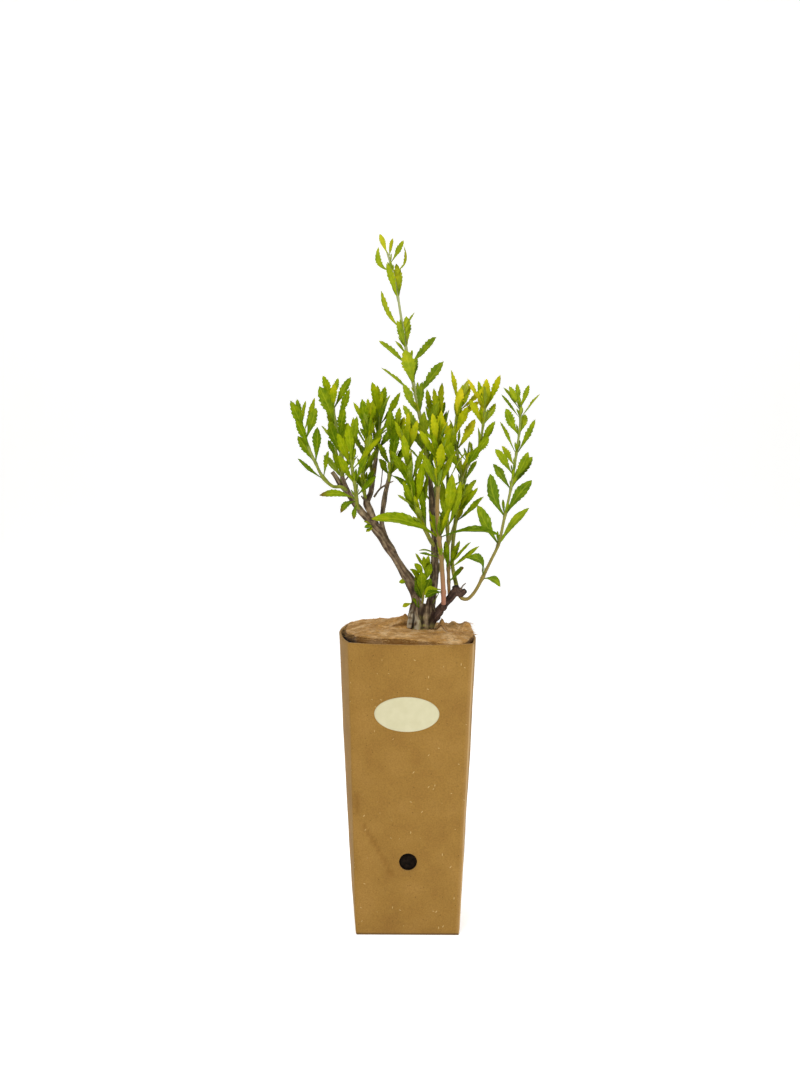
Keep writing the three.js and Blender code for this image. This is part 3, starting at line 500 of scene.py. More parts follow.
grey_bark = make_bark("grey_young_bark", "#382a1f", "#65523e", "#89795f", "#c6bfa9", "#4a3a2c")
brown_bark = make_bark("brown_young_bark", "#2a1e13", "#584833", "#877860", "#8f8f5c", "#7d6b40")
dark_bark = make_bark("dark_old_bark", "#1a100b", "#3a2820", "#5c473c", "#33241b", "#1b120d")
green_stem = make_green_stem()
leaf_face = make_leaf(
    "sage_leaf_face",
    [(0.0, "#2f4d00"), (0.3, "#597500"), (0.55, "#879800"), (0.8, "#b3b10b"), (1.0, "#d3c420")],
    "#b1bb2a", 0.36, 0.6,
)
leaf_back = make_leaf(
    "sage_leaf_back",
    [(0.0, "#4d690c"), (0.3, "#6e8514"), (0.55, "#8f9d22"), (0.8, "#b1b12c"), (1.0, "#ccc23c")],
    "#abb763", 0.45, 0.7,
)
print("materials in all:", len(bpy.data.materials))

# %% [markdown]
# ## The carton
#
# The pot is one sheet of board folded to a tall tapered square. The soil pushes its walls out,
# most at the rim and in the middle of each wall. So a wall point lies on the straight line
# between two folds and is moved outward by a parabola. The folds are rounded by a small curve
# that bends through each corner. Cutting the drain hole with a boolean would do, but here the
# grid itself makes room: rings of points spread from a square of cells to the round edge.

# %% Wall formula
CARTON_HEIGHT = 254
BOARD_THICKNESS = 1.8
BASE_HALF = 44.25
FOLD = 1.2
FOLD_POINTS = 3
RIM_CORNERS = np.array([(-52.5, -52.5), (52.5, -52.5), (46.5, 40.5), (-52.5, 52.5)])
WALL_BULGE = np.array([8, 6, 4, 8.5])


def wall_points(side, share, height, inset, bulge_share=1.0):
    """The line between two folds at a height, pushed out by a parabola along the wall that
    grows with the square root of the height, less the inset."""
    side, share, height = np.broadcast_arrays(side, share, np.asarray(height, float))
    rise = (height / CARTON_HEIGHT)[..., None]
    foot = np.sign(RIM_CORNERS) * BASE_HALF
    corners = [foot[k % 4] + (RIM_CORNERS[k % 4] - foot[k % 4]) * rise for k in (side, side + 1)]
    run = corners[1] - corners[0]
    length = np.linalg.norm(run, axis=-1)
    margin = (FOLD + inset) / length
    along = margin + (1 - 2 * margin) * share
    bulge = WALL_BULGE[side] * bulge_share * np.sqrt(rise[..., 0])
    out = bulge * 4 * along * (1 - along) - inset
    outward = np.stack([run[..., 1], -run[..., 0]], -1) / length[..., None]
    plan = corners[0] + run * along[..., None] + outward * out[..., None]
    return np.concatenate([plan, height[..., None]], -1)


def wall_ring(height, inset, steps, bulge_share=(1, 1, 1, 1), trim=0.0):
    """Points round the carton at one height: four walls, with a curve from each wall's end to
    the next wall's start that bends towards the fold."""
    shares = trim + (1 - 2 * trim) * np.linspace(0, 1, steps + 1)
    walls = [wall_points(np.full(steps + 1, k), shares, height, inset, bulge_share[k]) for k in range(4)]
    parts = []
    for k in range(4):
        start, end = walls[k][-1], walls[(k + 1) % 4][0]
        before, after = start - walls[k][-2], end - walls[(k + 1) % 4][1]
        across = before[0] * after[1] - before[1] * after[0]
        gap = end - start
        reach = (gap[0] * after[1] - gap[1] * after[0]) / across
        fold = start + before * reach
        t = (np.arange(1, FOLD_POINTS + 1) / (FOLD_POINTS + 1))[:, None]
        parts += [walls[k], (1 - t) ** 2 * start + 2 * t * (1 - t) * fold + t**2 * end]
    return np.concatenate(parts)


rim_span = np.ptp(wall_ring(CARTON_HEIGHT, 0.0, 8), axis=0)
print("rim:", rim_span[0].round(1), "mm wide and", rim_span[1].round(1), "mm deep")

# %% Dents, and places on the front wall
DENT_DEPTH, DENT_SIZE, UNDENTED = 0.35, 34, 30


def dented(points):
    """Moves points of a wall out and in by slow noise, less near the ground."""
    out = points[..., :2] / np.linalg.norm(points[..., :2], axis=-1, keepdims=True)
    push = DENT_DEPTH * rough(points, DENT_SIZE, 3) * smooth_step(0, UNDENTED, points[..., 2])
    moved = points.copy()
    moved[..., :2] += out * push[..., None]
    return moved


def front_wall(x, z, inset=0.0):
    """The front wall at places across and up: a place's share of the wall is that of its way from
    the wall's left end to the right end at the same height."""
    left = wall_points(0, 0.0, z, inset)[..., 0]
    right = wall_points(0, 1.0, z, inset)[..., 0]
    return dented(wall_points(0, (x - left) / (right - left), z, inset))


# %% The drain hole's rings
WALL_CELLS = 32
DRAIN = {"x": -0.4, "height": 66.0, "radius": 7.6}
HOLE_CELLS, HOLE_RINGS = 4, 4
LEVELS_BELOW, LEVELS_ABOVE = 24, 66
levels_below = np.linspace(0, DRAIN["height"], LEVELS_BELOW)
levels_above = np.linspace(DRAIN["height"], CARTON_HEIGHT, LEVELS_ABOVE)[1:]
wall_levels = np.concatenate([levels_below, levels_above])
hole_row = LEVELS_BELOW - 1
ring_size = 4 * (WALL_CELLS + 1 + FOLD_POINTS)


def hole_grid(inset):
    """Rings from the square of cells round the drain hole to the hole's edge: each point slides
    in a straight line in the wall's own plane, and the wall formula gives its depth."""
    n = HOLE_CELLS
    steps = [(k, 0) for k in range(2 * n)] + [(2 * n, k) for k in range(2 * n)]
    steps = np.array(steps + [(2 * n - a, 2 * n - b) for a, b in steps])
    column = WALL_CELLS // 2 - n + steps[:, 0]
    row = hole_row - n + steps[:, 1]
    square = wall_points(0, column / WALL_CELLS, wall_levels[row], inset)
    angle = np.arctan2(square[:, 2] - DRAIN["height"], square[:, 0] - DRAIN["x"])
    round_x = DRAIN["x"] + DRAIN["radius"] * np.cos(angle)
    round_z = DRAIN["height"] + DRAIN["radius"] * np.sin(angle)
    share = np.linspace(0, 1, HOLE_RINGS + 1)[:, None]
    x = square[:, 0] + (round_x - square[:, 0]) * share
    z = square[:, 2] + (round_z - square[:, 2]) * share
    return front_wall(x, z, inset)


# %% Stain, and a painted highlight on a fold
STAIN_LINE = [(-45, 124), (-42, 104), (-27, 78), (-15, 56)]
STAIN_EDGE, STAIN_FRAY, STAIN_STRENGTH = (2.6, 0.2), 1.8, 0.42
# Only what lies further to the front than this was ever wet
FRONT_OF = -30
# The near right fold is painted pale as a highlight: shares across its five points
FOLD_HIGHLIGHT_SHARES = [0.15, 0.65, 0.65, 0.65, 0.65]


def line_distance(x, y, start, end):
    """The distance of points from a straight line between two places, and each point's share of
    the way along it: the dot product with the line, over the square of its length."""
    run = np.subtract(end, start).astype(float)
    share = np.clip(((x - start[0]) * run[0] + (y - start[1]) * run[1]) / (run @ run), 0, 1)
    return np.hypot(x - start[0] - run[0] * share, y - start[1] - run[1] * share), share


def stain_share(points):
    """How wet a place once was: near a bent line down the front's lower left, broken by noise."""
    total = np.zeros(len(points))
    for start, end in zip(STAIN_LINE, STAIN_LINE[1:]):
        distance = line_distance(points[:, 0], points[:, 2], start, end)[0]
        total = np.maximum(total, smooth_step(*STAIN_EDGE, distance + STAIN_FRAY * rough(points, 5, 9)))
    return STAIN_STRENGTH * total * (points[:, 1] < FRONT_OF)


# %% Carton surface
FOOT_SHARE = 0.99
RIM_ROUNDING, RIM_FRAY = 0.35, 0.15
GROOVE_DEPTH = 0.7
BASE_SHARES = [1, 0.96, 0.9, 0.6, 0.3, 0.12, 0]

outer = dented(np.stack([wall_ring(z, 0.0, WALL_CELLS) for z in wall_levels]))
inner_levels = np.maximum(wall_levels, BOARD_THICKNESS)
inner = dented(np.stack([wall_ring(z, BOARD_THICKNESS, WALL_CELLS) for z in inner_levels]))
outer[0, :, :2] *= FOOT_SHARE
outer[-1, :, 2] = inner[-1, :, 2] = CARTON_HEIGHT - RIM_ROUNDING
hole_columns = np.arange(WALL_CELLS // 2 - HOLE_CELLS, WALL_CELLS // 2 + HOLE_CELLS)
hole_rows = np.arange(hole_row - HOLE_CELLS, hole_row + HOLE_CELLS)
kept = np.ones((len(wall_levels) - 1, ring_size), bool)
kept[np.ix_(hole_rows, hole_columns)] = False

# Painted highlight: the outer skin is paler along the near right fold
rubbed = np.zeros(outer.shape[:2])
rubbed[:, WALL_CELLS : WALL_CELLS + len(FOLD_HIGHLIGHT_SHARES)] = FOLD_HIGHLIGHT_SHARES

carton = Sheaf()
for skin, inset, inward in ((outer, 0.0, False), (inner, BOARD_THICKNESS, True)):
    faces = grid_faces(len(wall_levels), ring_size, wrap=True, flip=inward)[kept.ravel()]
    carton.add(skin, faces, stain=stain_share(skin.reshape(-1, 3)), rubbed=rubbed * (inset == 0))
    rings = hole_grid(inset)
    faces = grid_faces(HOLE_RINGS + 1, rings.shape[1], wrap=True, flip=inward)
    carton.add(rings, faces, stain=stain_share(rings.reshape(-1, 3)))
drain_wall = np.stack([hole_grid(0.0)[-1], hole_grid(BOARD_THICKNESS)[-1]])
carton.add(drain_wall, grid_faces(2, drain_wall.shape[1], wrap=True), slot=1)

# The rim is a cut edge, a little uneven, and rounded over by two rings between the skins.
rim = [outer[-1]]
for share in (0.3, 0.7):
    ring = outer[-1] + (inner[-1] - outer[-1]) * share
    ring[:, 2] = CARTON_HEIGHT + RIM_FRAY * noise(ring, 2.5, 4)
    rim.append(ring)
rim = np.stack([*rim, inner[-1]])
carton.add(rim, grid_faces(4, ring_size, wrap=True), slot=1)

# The base is four flaps folded in, so its corners carry grooves that run towards the middle.
corner_columns = np.arange(ring_size) % (WALL_CELLS + 1 + FOLD_POINTS) >= WALL_CELLS
base_shares = np.array(BASE_SHARES)[:, None, None]
base = outer[0][None] * base_shares
base[2:5, corner_columns, 2] = GROOVE_DEPTH
floor_ring = inner[0][None] * base_shares
floor_ring[..., 2] = BOARD_THICKNESS
for rings, inward in ((base, True), (floor_ring, False)):
    carton.add(rings, grid_faces(len(rings), ring_size, wrap=True, flip=inward))
carton.piece("board_carton", [board, board_edge], "carton", merge=True)

# %% [markdown]
# ## The oval label
#
# A paper oval sticks to the front wall a little left of the middle. It is bare. Rings of points
# shrink from its edge to its middle, and each point takes its depth from the wall formula, so
# the paper bends with the board. Its edge stands a hair off the board here and there. A patch
# of another colour on the wall would be less work, but a real sheet has an edge and a shadow.

# %% Label surface
LABEL = {"x": -3.0, "height": 194.5, "half_width": 27.2, "half_height": 15.0, "paper": 0.3}
LABEL_GLUE, LABEL_LIFT = 0.04, 0.25
label_angles = np.linspace(0, 2 * np.pi, 96, endpoint=False)


def label_ring(share, distance):
    """An ellipse of this share of the label's size, at a distance in front of the wall."""
    x = LABEL["x"] + share * LABEL["half_width"] * np.cos(label_angles)
    z = LABEL["height"] + share * LABEL["half_height"] * np.sin(label_angles)
    points = front_wall(x, z)
    lift = LABEL_LIFT * smooth_step(0.85, 1.0, share) * np.clip(noise(points, 9, 6), 0, 1)
    points[:, 1] -= distance + lift
    return points


front_shares = (1, 0.985, 0.93, 0.8, 0.6, 0.4, 0.2, 0)
label_front = [label_ring(share, LABEL_GLUE + LABEL["paper"] * (share < 0.99)) for share in front_shares]
label_back = [label_ring(share, LABEL_GLUE) for share in (0, 0.5, 0.93)]
label_rings = np.stack(label_back + label_front)
label = Sheaf()
label.add(label_rings, grid_faces(len(label_rings), len(label_angles), wrap=True))
label.piece("oval_label", [label_paper], "label", merge=True)

# %% [markdown]
# ## The fibre mat
#
# A pressed mat of coconut fibre covers the compost. It slopes down to the right, is domed, and
# stands up in lips where it was slit round the stems. It fills the rim but for its two near
# corners, which are drawn in. Its top is a height formula over the plan; rings of points run
# from the outline to the opening round the crown. Noise at several sizes gives the fibre's
# lumps. A sculpted mat could follow the lips more closely, but the formula keeps them in one
# table that is easy to change.

# %% The mat's height
MAT = {"thickness": 5.0, "inset": 2.0, "trim": 0.06, "edge_left": 4.6, "slope": 0.03}
MAT_BULGE_SHARE = (1.0, 0.8, 0.6, 0.45)
MAT_DOME, MAT_DOME_RADIUS = 2.5, 55
MAT_DIP = {"x": 40, "y": -60, "depth": 3.5, "reach_x": 24, "reach_y": 10}
MAT_DROP = {"x": -56, "depth": 3.0, "reach": 12}
# The ripple: its height, and for both directions how fast its wave goes and where it begins
RIPPLE = {"height": 0.5, "x": (0.21, 1.3), "y": (0.17, -0.4)}
# Ridges and lips: from a place on the plan to another, the height at both ends, half width
MAT_RIDGES = [
    (-24, 12, -6, 3, 4, 8, 11), (-13, -15, -4, -7, 2.5, 6, 3.4), (26, -24, 27.2, -9, 2, 10, 3.2),
    (-22, -5, -6, -4, 1.5, 2.5, 6), (-28, 36, -5, 30, 2, 3, 12), (38, 14, 39, 26, 4, 4, 4.5),
    (49, 2, 49, 16, 6, 5.5, 4.5), (56, -34, 57, 10, 2, 5, 5), (30, -44, 44, -36, 1.5, 1.5, 8),
    (-40, -30, -10, -36, 1.5, 1, 7),
]


def mat_base(x, y):
    """The mat's mean height: the rim, less a slope, plus a dome and a slow ripple, less a dip at
    the front and a drop along the left wall, both bell curves."""
    dome = np.clip(1 - (x**2 + y**2) / MAT_DOME_RADIUS**2, 0, None)
    (fast_x, from_x), (fast_y, from_y) = RIPPLE["x"], RIPPLE["y"]
    ripple = RIPPLE["height"] * np.sin(fast_x * x + from_x) * np.cos(fast_y * y + from_y)
    tilt = MAT["slope"] * (x + 45 + y)
    away = ((x - MAT_DIP["x"]) / MAT_DIP["reach_x"]) ** 2 + ((y - MAT_DIP["y"]) / MAT_DIP["reach_y"]) ** 2
    drop = MAT_DROP["depth"] * np.exp(-(((x - MAT_DROP["x"]) / MAT_DROP["reach"]) ** 2))
    dip = MAT_DIP["depth"] * np.exp(-away) + drop
    return CARTON_HEIGHT + MAT["edge_left"] - tilt + MAT_DOME * dome + ripple - dip


def beside_line(x, y, start, end, half_width):
    """A bell curve of the distance from a line on the plan, and the share along the line."""
    distance, share = line_distance(x, y, start, end)
    return np.exp(-((distance / half_width) ** 2)), share


def mat_top(x, y):
    """The mean height plus ridges: each falls off as a bell curve beside its line."""
    height = mat_base(x, y)
    for x1, y1, x2, y2, first, second, half_width in MAT_RIDGES:
        bell, share = beside_line(x, y, (x1, y1), (x2, y2), half_width)
        height = height + (first + (second - first) * share) * bell
    return height


print("mat's height at the middle:", mat_top(0.0, 0.0).round(1), "mm")

# %% The mat's outline and opening
MAT_CELLS = 54
# It fills the rim but at the two near corners, where it is pulled in by a bell curve
MAT_SPREAD = 0.022
MAT_CORNERS = [
    {"place": (-52, -41), "reach": (11, 20), "pull": 0.105},
    {"place": (53, -46), "reach": (7, 12), "pull": 0.07},
]
MAT_OPENING = {"x": 10.5, "y": -8.8, "radius_x": 11.4, "radius_y": 9.6}

mat_outline = wall_ring(CARTON_HEIGHT, MAT["inset"], MAT_CELLS, MAT_BULGE_SHARE, MAT["trim"])[:, :2]
size_share = 1 + MAT_SPREAD
for corner in MAT_CORNERS:
    away = (mat_outline - corner["place"]) / corner["reach"]
    size_share = size_share - corner["pull"] * np.exp(-(away**2).sum(1))[:, None]
mat_outline = mat_outline * size_share
opening_angle = np.arctan2(mat_outline[:, 1] - MAT_OPENING["y"], mat_outline[:, 0] - MAT_OPENING["x"])
opening = np.stack([
    MAT_OPENING["x"] + MAT_OPENING["radius_x"] * np.cos(opening_angle),
    MAT_OPENING["y"] + MAT_OPENING["radius_y"] * np.sin(opening_angle),
], -1)
print("points round the mat:", len(mat_outline))

# %% Mat surface
MAT_LUMPS, MAT_LUMP_SIZE = 0.55, 6
MAT_FUZZ, MAT_FUZZ_SIZE = 0.4, 1.5
SIDE_FUZZ, SIDE_FUZZ_SIZE = 0.004, 1.6
UNDER_RINGS = 10
SIDE_DARK, EDGE_DARK, SHADOW_DARK = 0.75, 0.45, 0.8
# Lines under the lips where no light falls, and their half width
MAT_SHADOWS = [((-14, -17.5), (-3.5, -11.5), 1.5), ((21, -17), (31, -20.5), 1.5)]


def mat_rings(shares, drops, roughness):
    """Rings between outline and opening, at a drop under the top formula, made rough by noise."""
    rings = []
    for share, drop in zip(shares, drops):
        plan = mat_outline + (opening - mat_outline) * share
        points = np.column_stack([plan, mat_top(plan[:, 0], plan[:, 1]) - drop])
        lumps = MAT_LUMPS * rough(points, MAT_LUMP_SIZE, 11)
        points[:, 2] += roughness * (lumps + MAT_FUZZ * noise(points, MAT_FUZZ_SIZE, 12))
        rings.append(points)
    return np.stack(rings)


top_shares = np.concatenate([[0.0, 0.006, 0.02], np.linspace(0.045, 1, 44)])
top_drops = np.concatenate([[0.9, 0.3, 0.05], np.zeros(42), [0.4, 1.5]])
side_shares = np.array([0.03, 0.012, 0.004, -0.004, -0.002, 0.004])
side_drops = np.array([7.5, 7.2, 6.2, 4.6, 3.0, 1.6])
mat_skin = np.concatenate([
    mat_rings(np.linspace(1, 0.06, UNDER_RINGS), np.linspace(MAT["thickness"], 7, UNDER_RINGS), 0.3),
    mat_rings(side_shares, side_drops, 0.6),
    mat_rings(top_shares, top_drops, 1.0),
])
side_rows = slice(UNDER_RINGS, UNDER_RINGS + len(side_shares))
mat_skin[side_rows, :, :2] *= 1 + SIDE_FUZZ * noise(mat_skin[side_rows], SIDE_FUZZ_SIZE, 14)[..., None]
mat_count = mat_skin.shape[1]
side_number = np.zeros(mat_skin.shape[:2])
side_number[: side_rows.stop] = SIDE_DARK
side_number[side_rows.stop] = EDGE_DARK
top_rows = slice(side_rows.stop + 1, None)
for start, end, half_width in MAT_SHADOWS:
    bell = beside_line(mat_skin[top_rows, :, 0], mat_skin[top_rows, :, 1], start, end, half_width)[0]
    side_number[top_rows] = np.maximum(side_number[top_rows], SHADOW_DARK * bell)
mat_closed = np.concatenate([mat_skin, mat_skin[:1]])
side_number = np.concatenate([side_number, side_number[:1]])
mat = Sheaf()
mat.add(mat_closed, grid_faces(len(mat_closed), mat_count, wrap=True), side=side_number)
mat.piece("fibre_mulch_mat", [mat_fibre], "fibre_mat", merge=True)

# %% [markdown]
# Loose strands: each is a three sided hair along a bent path of four points. It starts in the
# mat, rises, and falls back, so the mat's outline is fuzzy as the real one's is. Blender's hair
# curves would do in a render, but a mesh stays with the model wherever it goes.

# %% Loose strands
STRANDS = 1500
STRAND_RADIUS = 0.11
STRAND_PATH = np.array([0, 0.35, 0.7, 1.0])
STRAND_THINNING = np.array([1, 1, 0.8, 0.3])
# This share of the strands starts in the outermost part of the mat
AT_EDGE, EDGE_SHARE = 0.4, 0.02
# How deep a strand starts in the mat, and how much deeper at its edge; a strand's length and its
# rise, each the first number and up to the second one more; how far it tilts and curls
STRAND_DEPTH, STRAND_LENGTH, STRAND_RISE = (0.3, 3.5), (2, 5), (0.2, 0.8)
STRAND_TILT, STRAND_CURL = 0.12, 0.8
draw = np.random.default_rng(5)


def strand_hairs(starts, headings, lengths, rise, turn):
    """Hairs from starting points: the path goes along its heading, curls sideways by turn and
    rises as a parabola; three points stand round each path point."""
    count = len(starts)
    t = STRAND_PATH[None, :, None]
    side = np.stack([-headings[:, 1], headings[:, 0], np.zeros(count)], -1)
    flat = headings[:, None] * t + side[:, None] * turn[:, None, None] * t**2
    path = starts[:, None] + flat * lengths[:, None, None]
    path[..., 2] += rise[:, None] * 4 * t[..., 0] * (1 - t[..., 0])
    angle = np.arange(3) * 2 * np.pi / 3
    thin = STRAND_RADIUS * STRAND_THINNING[None, :, None, None]
    round_path = np.cos(angle)[:, None] * side[:, None, None] + np.sin(angle)[:, None] * np.array([0, 0, 1.0])
    points = path[:, :, None] + thin * round_path
    ring = grid_faces(4, 3, wrap=True)
    faces = (ring[None] + 12 * np.arange(count)[:, None, None]).reshape(-1, 4)
    return points.reshape(-1, 3), faces


column = draw.integers(0, mat_count, STRANDS)
near_edge = draw.random(STRANDS) < AT_EDGE
share = np.where(near_edge, EDGE_SHARE * draw.random(STRANDS), draw.random(STRANDS) ** 1.3)
plan = mat_outline[column] + (opening[column] - mat_outline[column]) * share[:, None]
depth = STRAND_DEPTH[0] + STRAND_DEPTH[1] * draw.random(STRANDS) * (share < EDGE_SHARE)
starts = np.column_stack([plan, mat_top(plan[:, 0], plan[:, 1]) - depth])
heading = draw.random(STRANDS) * 2 * np.pi
tilt = STRAND_TILT * draw.standard_normal(STRANDS)
headings = np.stack([np.cos(heading), np.sin(heading), tilt], -1)
lengths = STRAND_LENGTH[0] + STRAND_LENGTH[1] * draw.random(STRANDS) ** 2
rises = STRAND_RISE[0] + STRAND_RISE[1] * draw.random(STRANDS) ** 2
curls = draw.uniform(-STRAND_CURL, STRAND_CURL, STRANDS)
strand_points, strand_faces = strand_hairs(starts, headings, lengths, rises, curls)
strands = Sheaf()
strands.add(strand_points, strand_faces)
strands.piece("loose_mat_strands", [loose_fibre])

# %% [markdown]
# ## The compost
#
# The compost fills the carton and shows only at the left corner of the rim, in the drain hole
# and from above. Its sides follow the walls a board's thickness inside, and its top follows the
# mat's mean height. Two sizes of noise make crumbs of it. A dark plate behind the drain hole
# would be enough for one view, but a full pot is right from every side.

# %% Compost surface
SOIL_INSET = BOARD_THICKNESS + 0.35
SOIL_CELLS, SOIL_RINGS = 24, 40
SOIL_FROM, SOIL_TO = 12, 246
UNDER_MAT = 1.3
CRUMB_SIZE, CRUMB_DEPTH = 3.2, 1.1
SIDE_CRUMB_SIZE, SIDE_CRUMBS = 5, 0.008
SHOULDER = 0.8

soil_levels = np.concatenate([[SOIL_INSET], np.linspace(SOIL_FROM, SOIL_TO, SOIL_RINGS)])
soil_sides = np.stack([wall_ring(z, SOIL_INSET + 0.3, SOIL_CELLS) for z in soil_levels])
side_crumbs = SIDE_CRUMBS * np.abs(rough(soil_sides[1:], SIDE_CRUMB_SIZE, 21))
soil_sides[1:, :, :2] *= 1 - side_crumbs[..., None]
soil_rim = wall_ring(CARTON_HEIGHT - 2, SOIL_INSET + 0.2, SOIL_CELLS)[:, :2]
soil_cover = []
for share in np.concatenate([[1, 0.99], np.linspace(0.975, 0, SOIL_RINGS)]):
    plan = soil_rim * share
    top = mat_base(plan[:, 0], plan[:, 1]) - MAT["thickness"] - UNDER_MAT
    crumbs = np.column_stack([plan, top])
    crumbs[:, 2] -= CRUMB_DEPTH * np.abs(rough(crumbs, CRUMB_SIZE, 22)) + SHOULDER * (share > 0.995)
    soil_cover.append(crumbs)
soil_base = soil_sides[0][None] * np.array([0, 0.5])[:, None, None]
soil_base[..., 2] = SOIL_INSET
soil_skin = np.concatenate([soil_base, soil_sides, np.stack(soil_cover)])
soil = Sheaf()
soil.add(soil_skin, grid_faces(len(soil_skin), soil_skin.shape[1], wrap=True))
soil.piece("compost_filling", [compost], "soil", merge=True)

# %% [markdown]
# ## Wood
#
# The crown is a flared stock that forks into a leaning main stem with cut stubs, a thin dark
# fork and an upright stem; a dark branch with two knobs and a collar leaves it at the right.
# Each stem is a skin round a smooth curve through the points of its middle line. The skin's
# radius carries long ridges and lumps. A sculpted join would be smoother, but the real forks
# have creases there too.

# %% A smooth path
def smooth_path(rows, steps):
    """Points between the rows on a centripetal spline: each stretch is a cubic whose end slopes
    weigh the neighbouring stretches by the square root of their lengths."""
    rows = np.asarray(rows, float)
    before = 2 * rows[0] - rows[1]
    after = 2 * rows[-1] - rows[-2]
    p = np.vstack([before, rows, after])
    reach = np.sqrt(np.linalg.norm(np.diff(p[:, :3], axis=0), axis=1))
    d0, d1, d2 = (reach[k : k + len(rows) - 1, None] for k in range(3))
    p0, p1, p2, p3 = (p[k : k + len(rows) - 1] for k in range(4))
    slope1 = ((p1 - p0) / d0 - (p2 - p0) / (d0 + d1) + (p2 - p1) / d1) * d1
    slope2 = ((p2 - p1) / d1 - (p3 - p1) / (d1 + d2) + (p3 - p2) / d2) * d1
    t = (np.arange(steps) / steps)[None, :, None]
    p1, p2, slope1, slope2 = (a[:, None] for a in (p1, p2, slope1, slope2))
    cubic = (
        (2 * t**3 - 3 * t**2 + 1) * p1 + (t**3 - 2 * t**2 + t) * slope1
        + (3 * t**2 - 2 * t**3) * p2 + (t**3 - t**2) * slope2
    )
    return np.vstack([cubic.reshape(-1, rows.shape[1]), rows[-1:]])


def distance_along(path):
    """The way from the path's start to each of its points: the sum of the steps before it."""
    return np.concatenate([[0], np.cumsum(np.linalg.norm(np.diff(path, axis=0), axis=1))])


def even_path(rows, steps, spacing, least):
    """The smooth path with its radius, at even distances along it of about the spacing."""
    path = smooth_path(rows, steps)
    along = distance_along(path[:, :3])
    even = np.linspace(0, along[-1], max(least, int(along[-1] / spacing)))
    return np.stack([np.interp(even, along, path[:, k]) for k in range(4)], -1)


def tube(path, radius, sides):
    """A skin round a path: at each point a ring stands square to the path's direction. The seam
    is at the back, with its points twice, so that patterns don't jump there."""
    way = np.gradient(path, axis=0)
    way /= np.linalg.norm(way, axis=1, keepdims=True)
    across = np.cross(way, [0.0, 1.0, 0.0])
    across /= np.linalg.norm(across, axis=1, keepdims=True)
    beside = np.cross(way, across)
    angle = np.linspace(1.5, 3.5, sides + 1) * np.pi
    radius = np.asarray(radius, float).reshape(len(path), -1)
    ring = np.cos(angle)[:, None] * across[:, None] + np.sin(angle)[:, None] * beside[:, None]
    return path[:, None] + radius[..., None] * ring, distance_along(path), angle, way


# %% Middle lines of the wood
CROWN_STEMS = [
    # root stock
    [(10, -8, 222, 6), (10, -8, 242, 7.6), (9.5, -8, 258, 7.6), (9.5, -8, 269, 6), (11, -7, 280, 4)],
    # main stem, leaning to the left
    [
        (7, -8, 262, 5.4), (5, -8, 283, 4.3), (2, -7, 295, 4.8), (-6, -6, 308, 3.9), (-18, -5, 327, 3.8),
        (-27, -4.5, 341, 4.1), (-33, -4, 349, 3.5),
    ],
    # its left arm
    [
        (-31, -4, 346, 3.3), (-44, -4, 360, 2.9), (-50.5, -3.4, 369, 2.5), (-55.5, -3, 379, 2),
        (-59.5, -2, 388, 1.6),
    ],
    # dead stub beside that arm
    [(-54, -2, 374, 1.7), (-61, -1, 381.5, 2), (-64, -1, 387, 2.1), (-67.5, -1, 392, 1.9)],
    # its right arm, with a knob
    [
        (-28, -4.5, 342, 3.2), (-35, -3, 359, 2.7), (-38, -2, 367, 3.2), (-35, -1, 374, 2.5),
        (-33, 0, 388, 2.1), (-30.5, 0, 404, 1.8),
    ],
    # thin dark fork
    [
        (-19, -5, 329, 2.6), (-25, -2, 348, 2.1), (-24, 0, 362, 2), (-22, 1, 375, 1.9), (-19, 2, 388, 1.7),
    ],
    # upright stem, which runs out into the tallest shoot
    [
        (15, -8, 262, 4.8), (18.5, -6, 286, 4), (20.5, -4, 316, 3.5), (20, -3, 340, 3.1),
        (18, -2, 363, 2.7), (16.5, -2.5, 380, 2.2), (14, -3, 396, 1.7),
    ],
]
# Thin dead twigs on the arms and at the foot
TWIGS = [
    [(-32, -1, 371, 0.8), (-27, 0, 378, 0.7), (-21, 1, 382, 0.7), (-16, 1.5, 384.5, 0.5)],
    [(-26.5, 1, 378, 0.6), (-25.5, 1, 387, 0.5), (-24.8, 1, 396, 0.5)],
    [(-58, -3, 384, 0.7), (-54.5, -4, 388, 0.6), (-53.5, -4.5, 391, 0.4)],
    [(42, -15, 292, 0.8), (44, -16.5, 297, 0.6), (46.5, -17, 299.5, 0.4)],
    [(23, -14, 269, 0.9), (20.5, -17, 276, 0.8), (19.5, -18, 278, 0.6)],
    [(-36, -4, 367, 1.2), (-41, -5, 370, 0.9), (-42.5, -5, 372, 0.6)],
]
SIDE_BRANCH = [
    (16, -12.5, 259, 3.2), (18.8, -13.5, 266, 3.5), (26, -14, 277, 3.9), (34, -14, 286.5, 3.4),
    (39, -14, 292.5, 4.2), (44, -13, 289, 3),
]
BRANCH_STUBS = [
    [(40, -14, 289, 3.4), (38.8, -15, 293.5, 3.1), (38.2, -15.6, 296.5, 2.6)],
    [(41, -13.5, 289.5, 3.2), (44.5, -14.6, 291.5, 2.6), (46.4, -15.2, 293, 2)],
    # collar round the foot of the front stem
    [(27.4, -15, 277.5, 3), (27.8, -17, 279.7, 3.3), (28, -18, 281.6, 3)],
]
CROWN_AXIS = (10, -8)
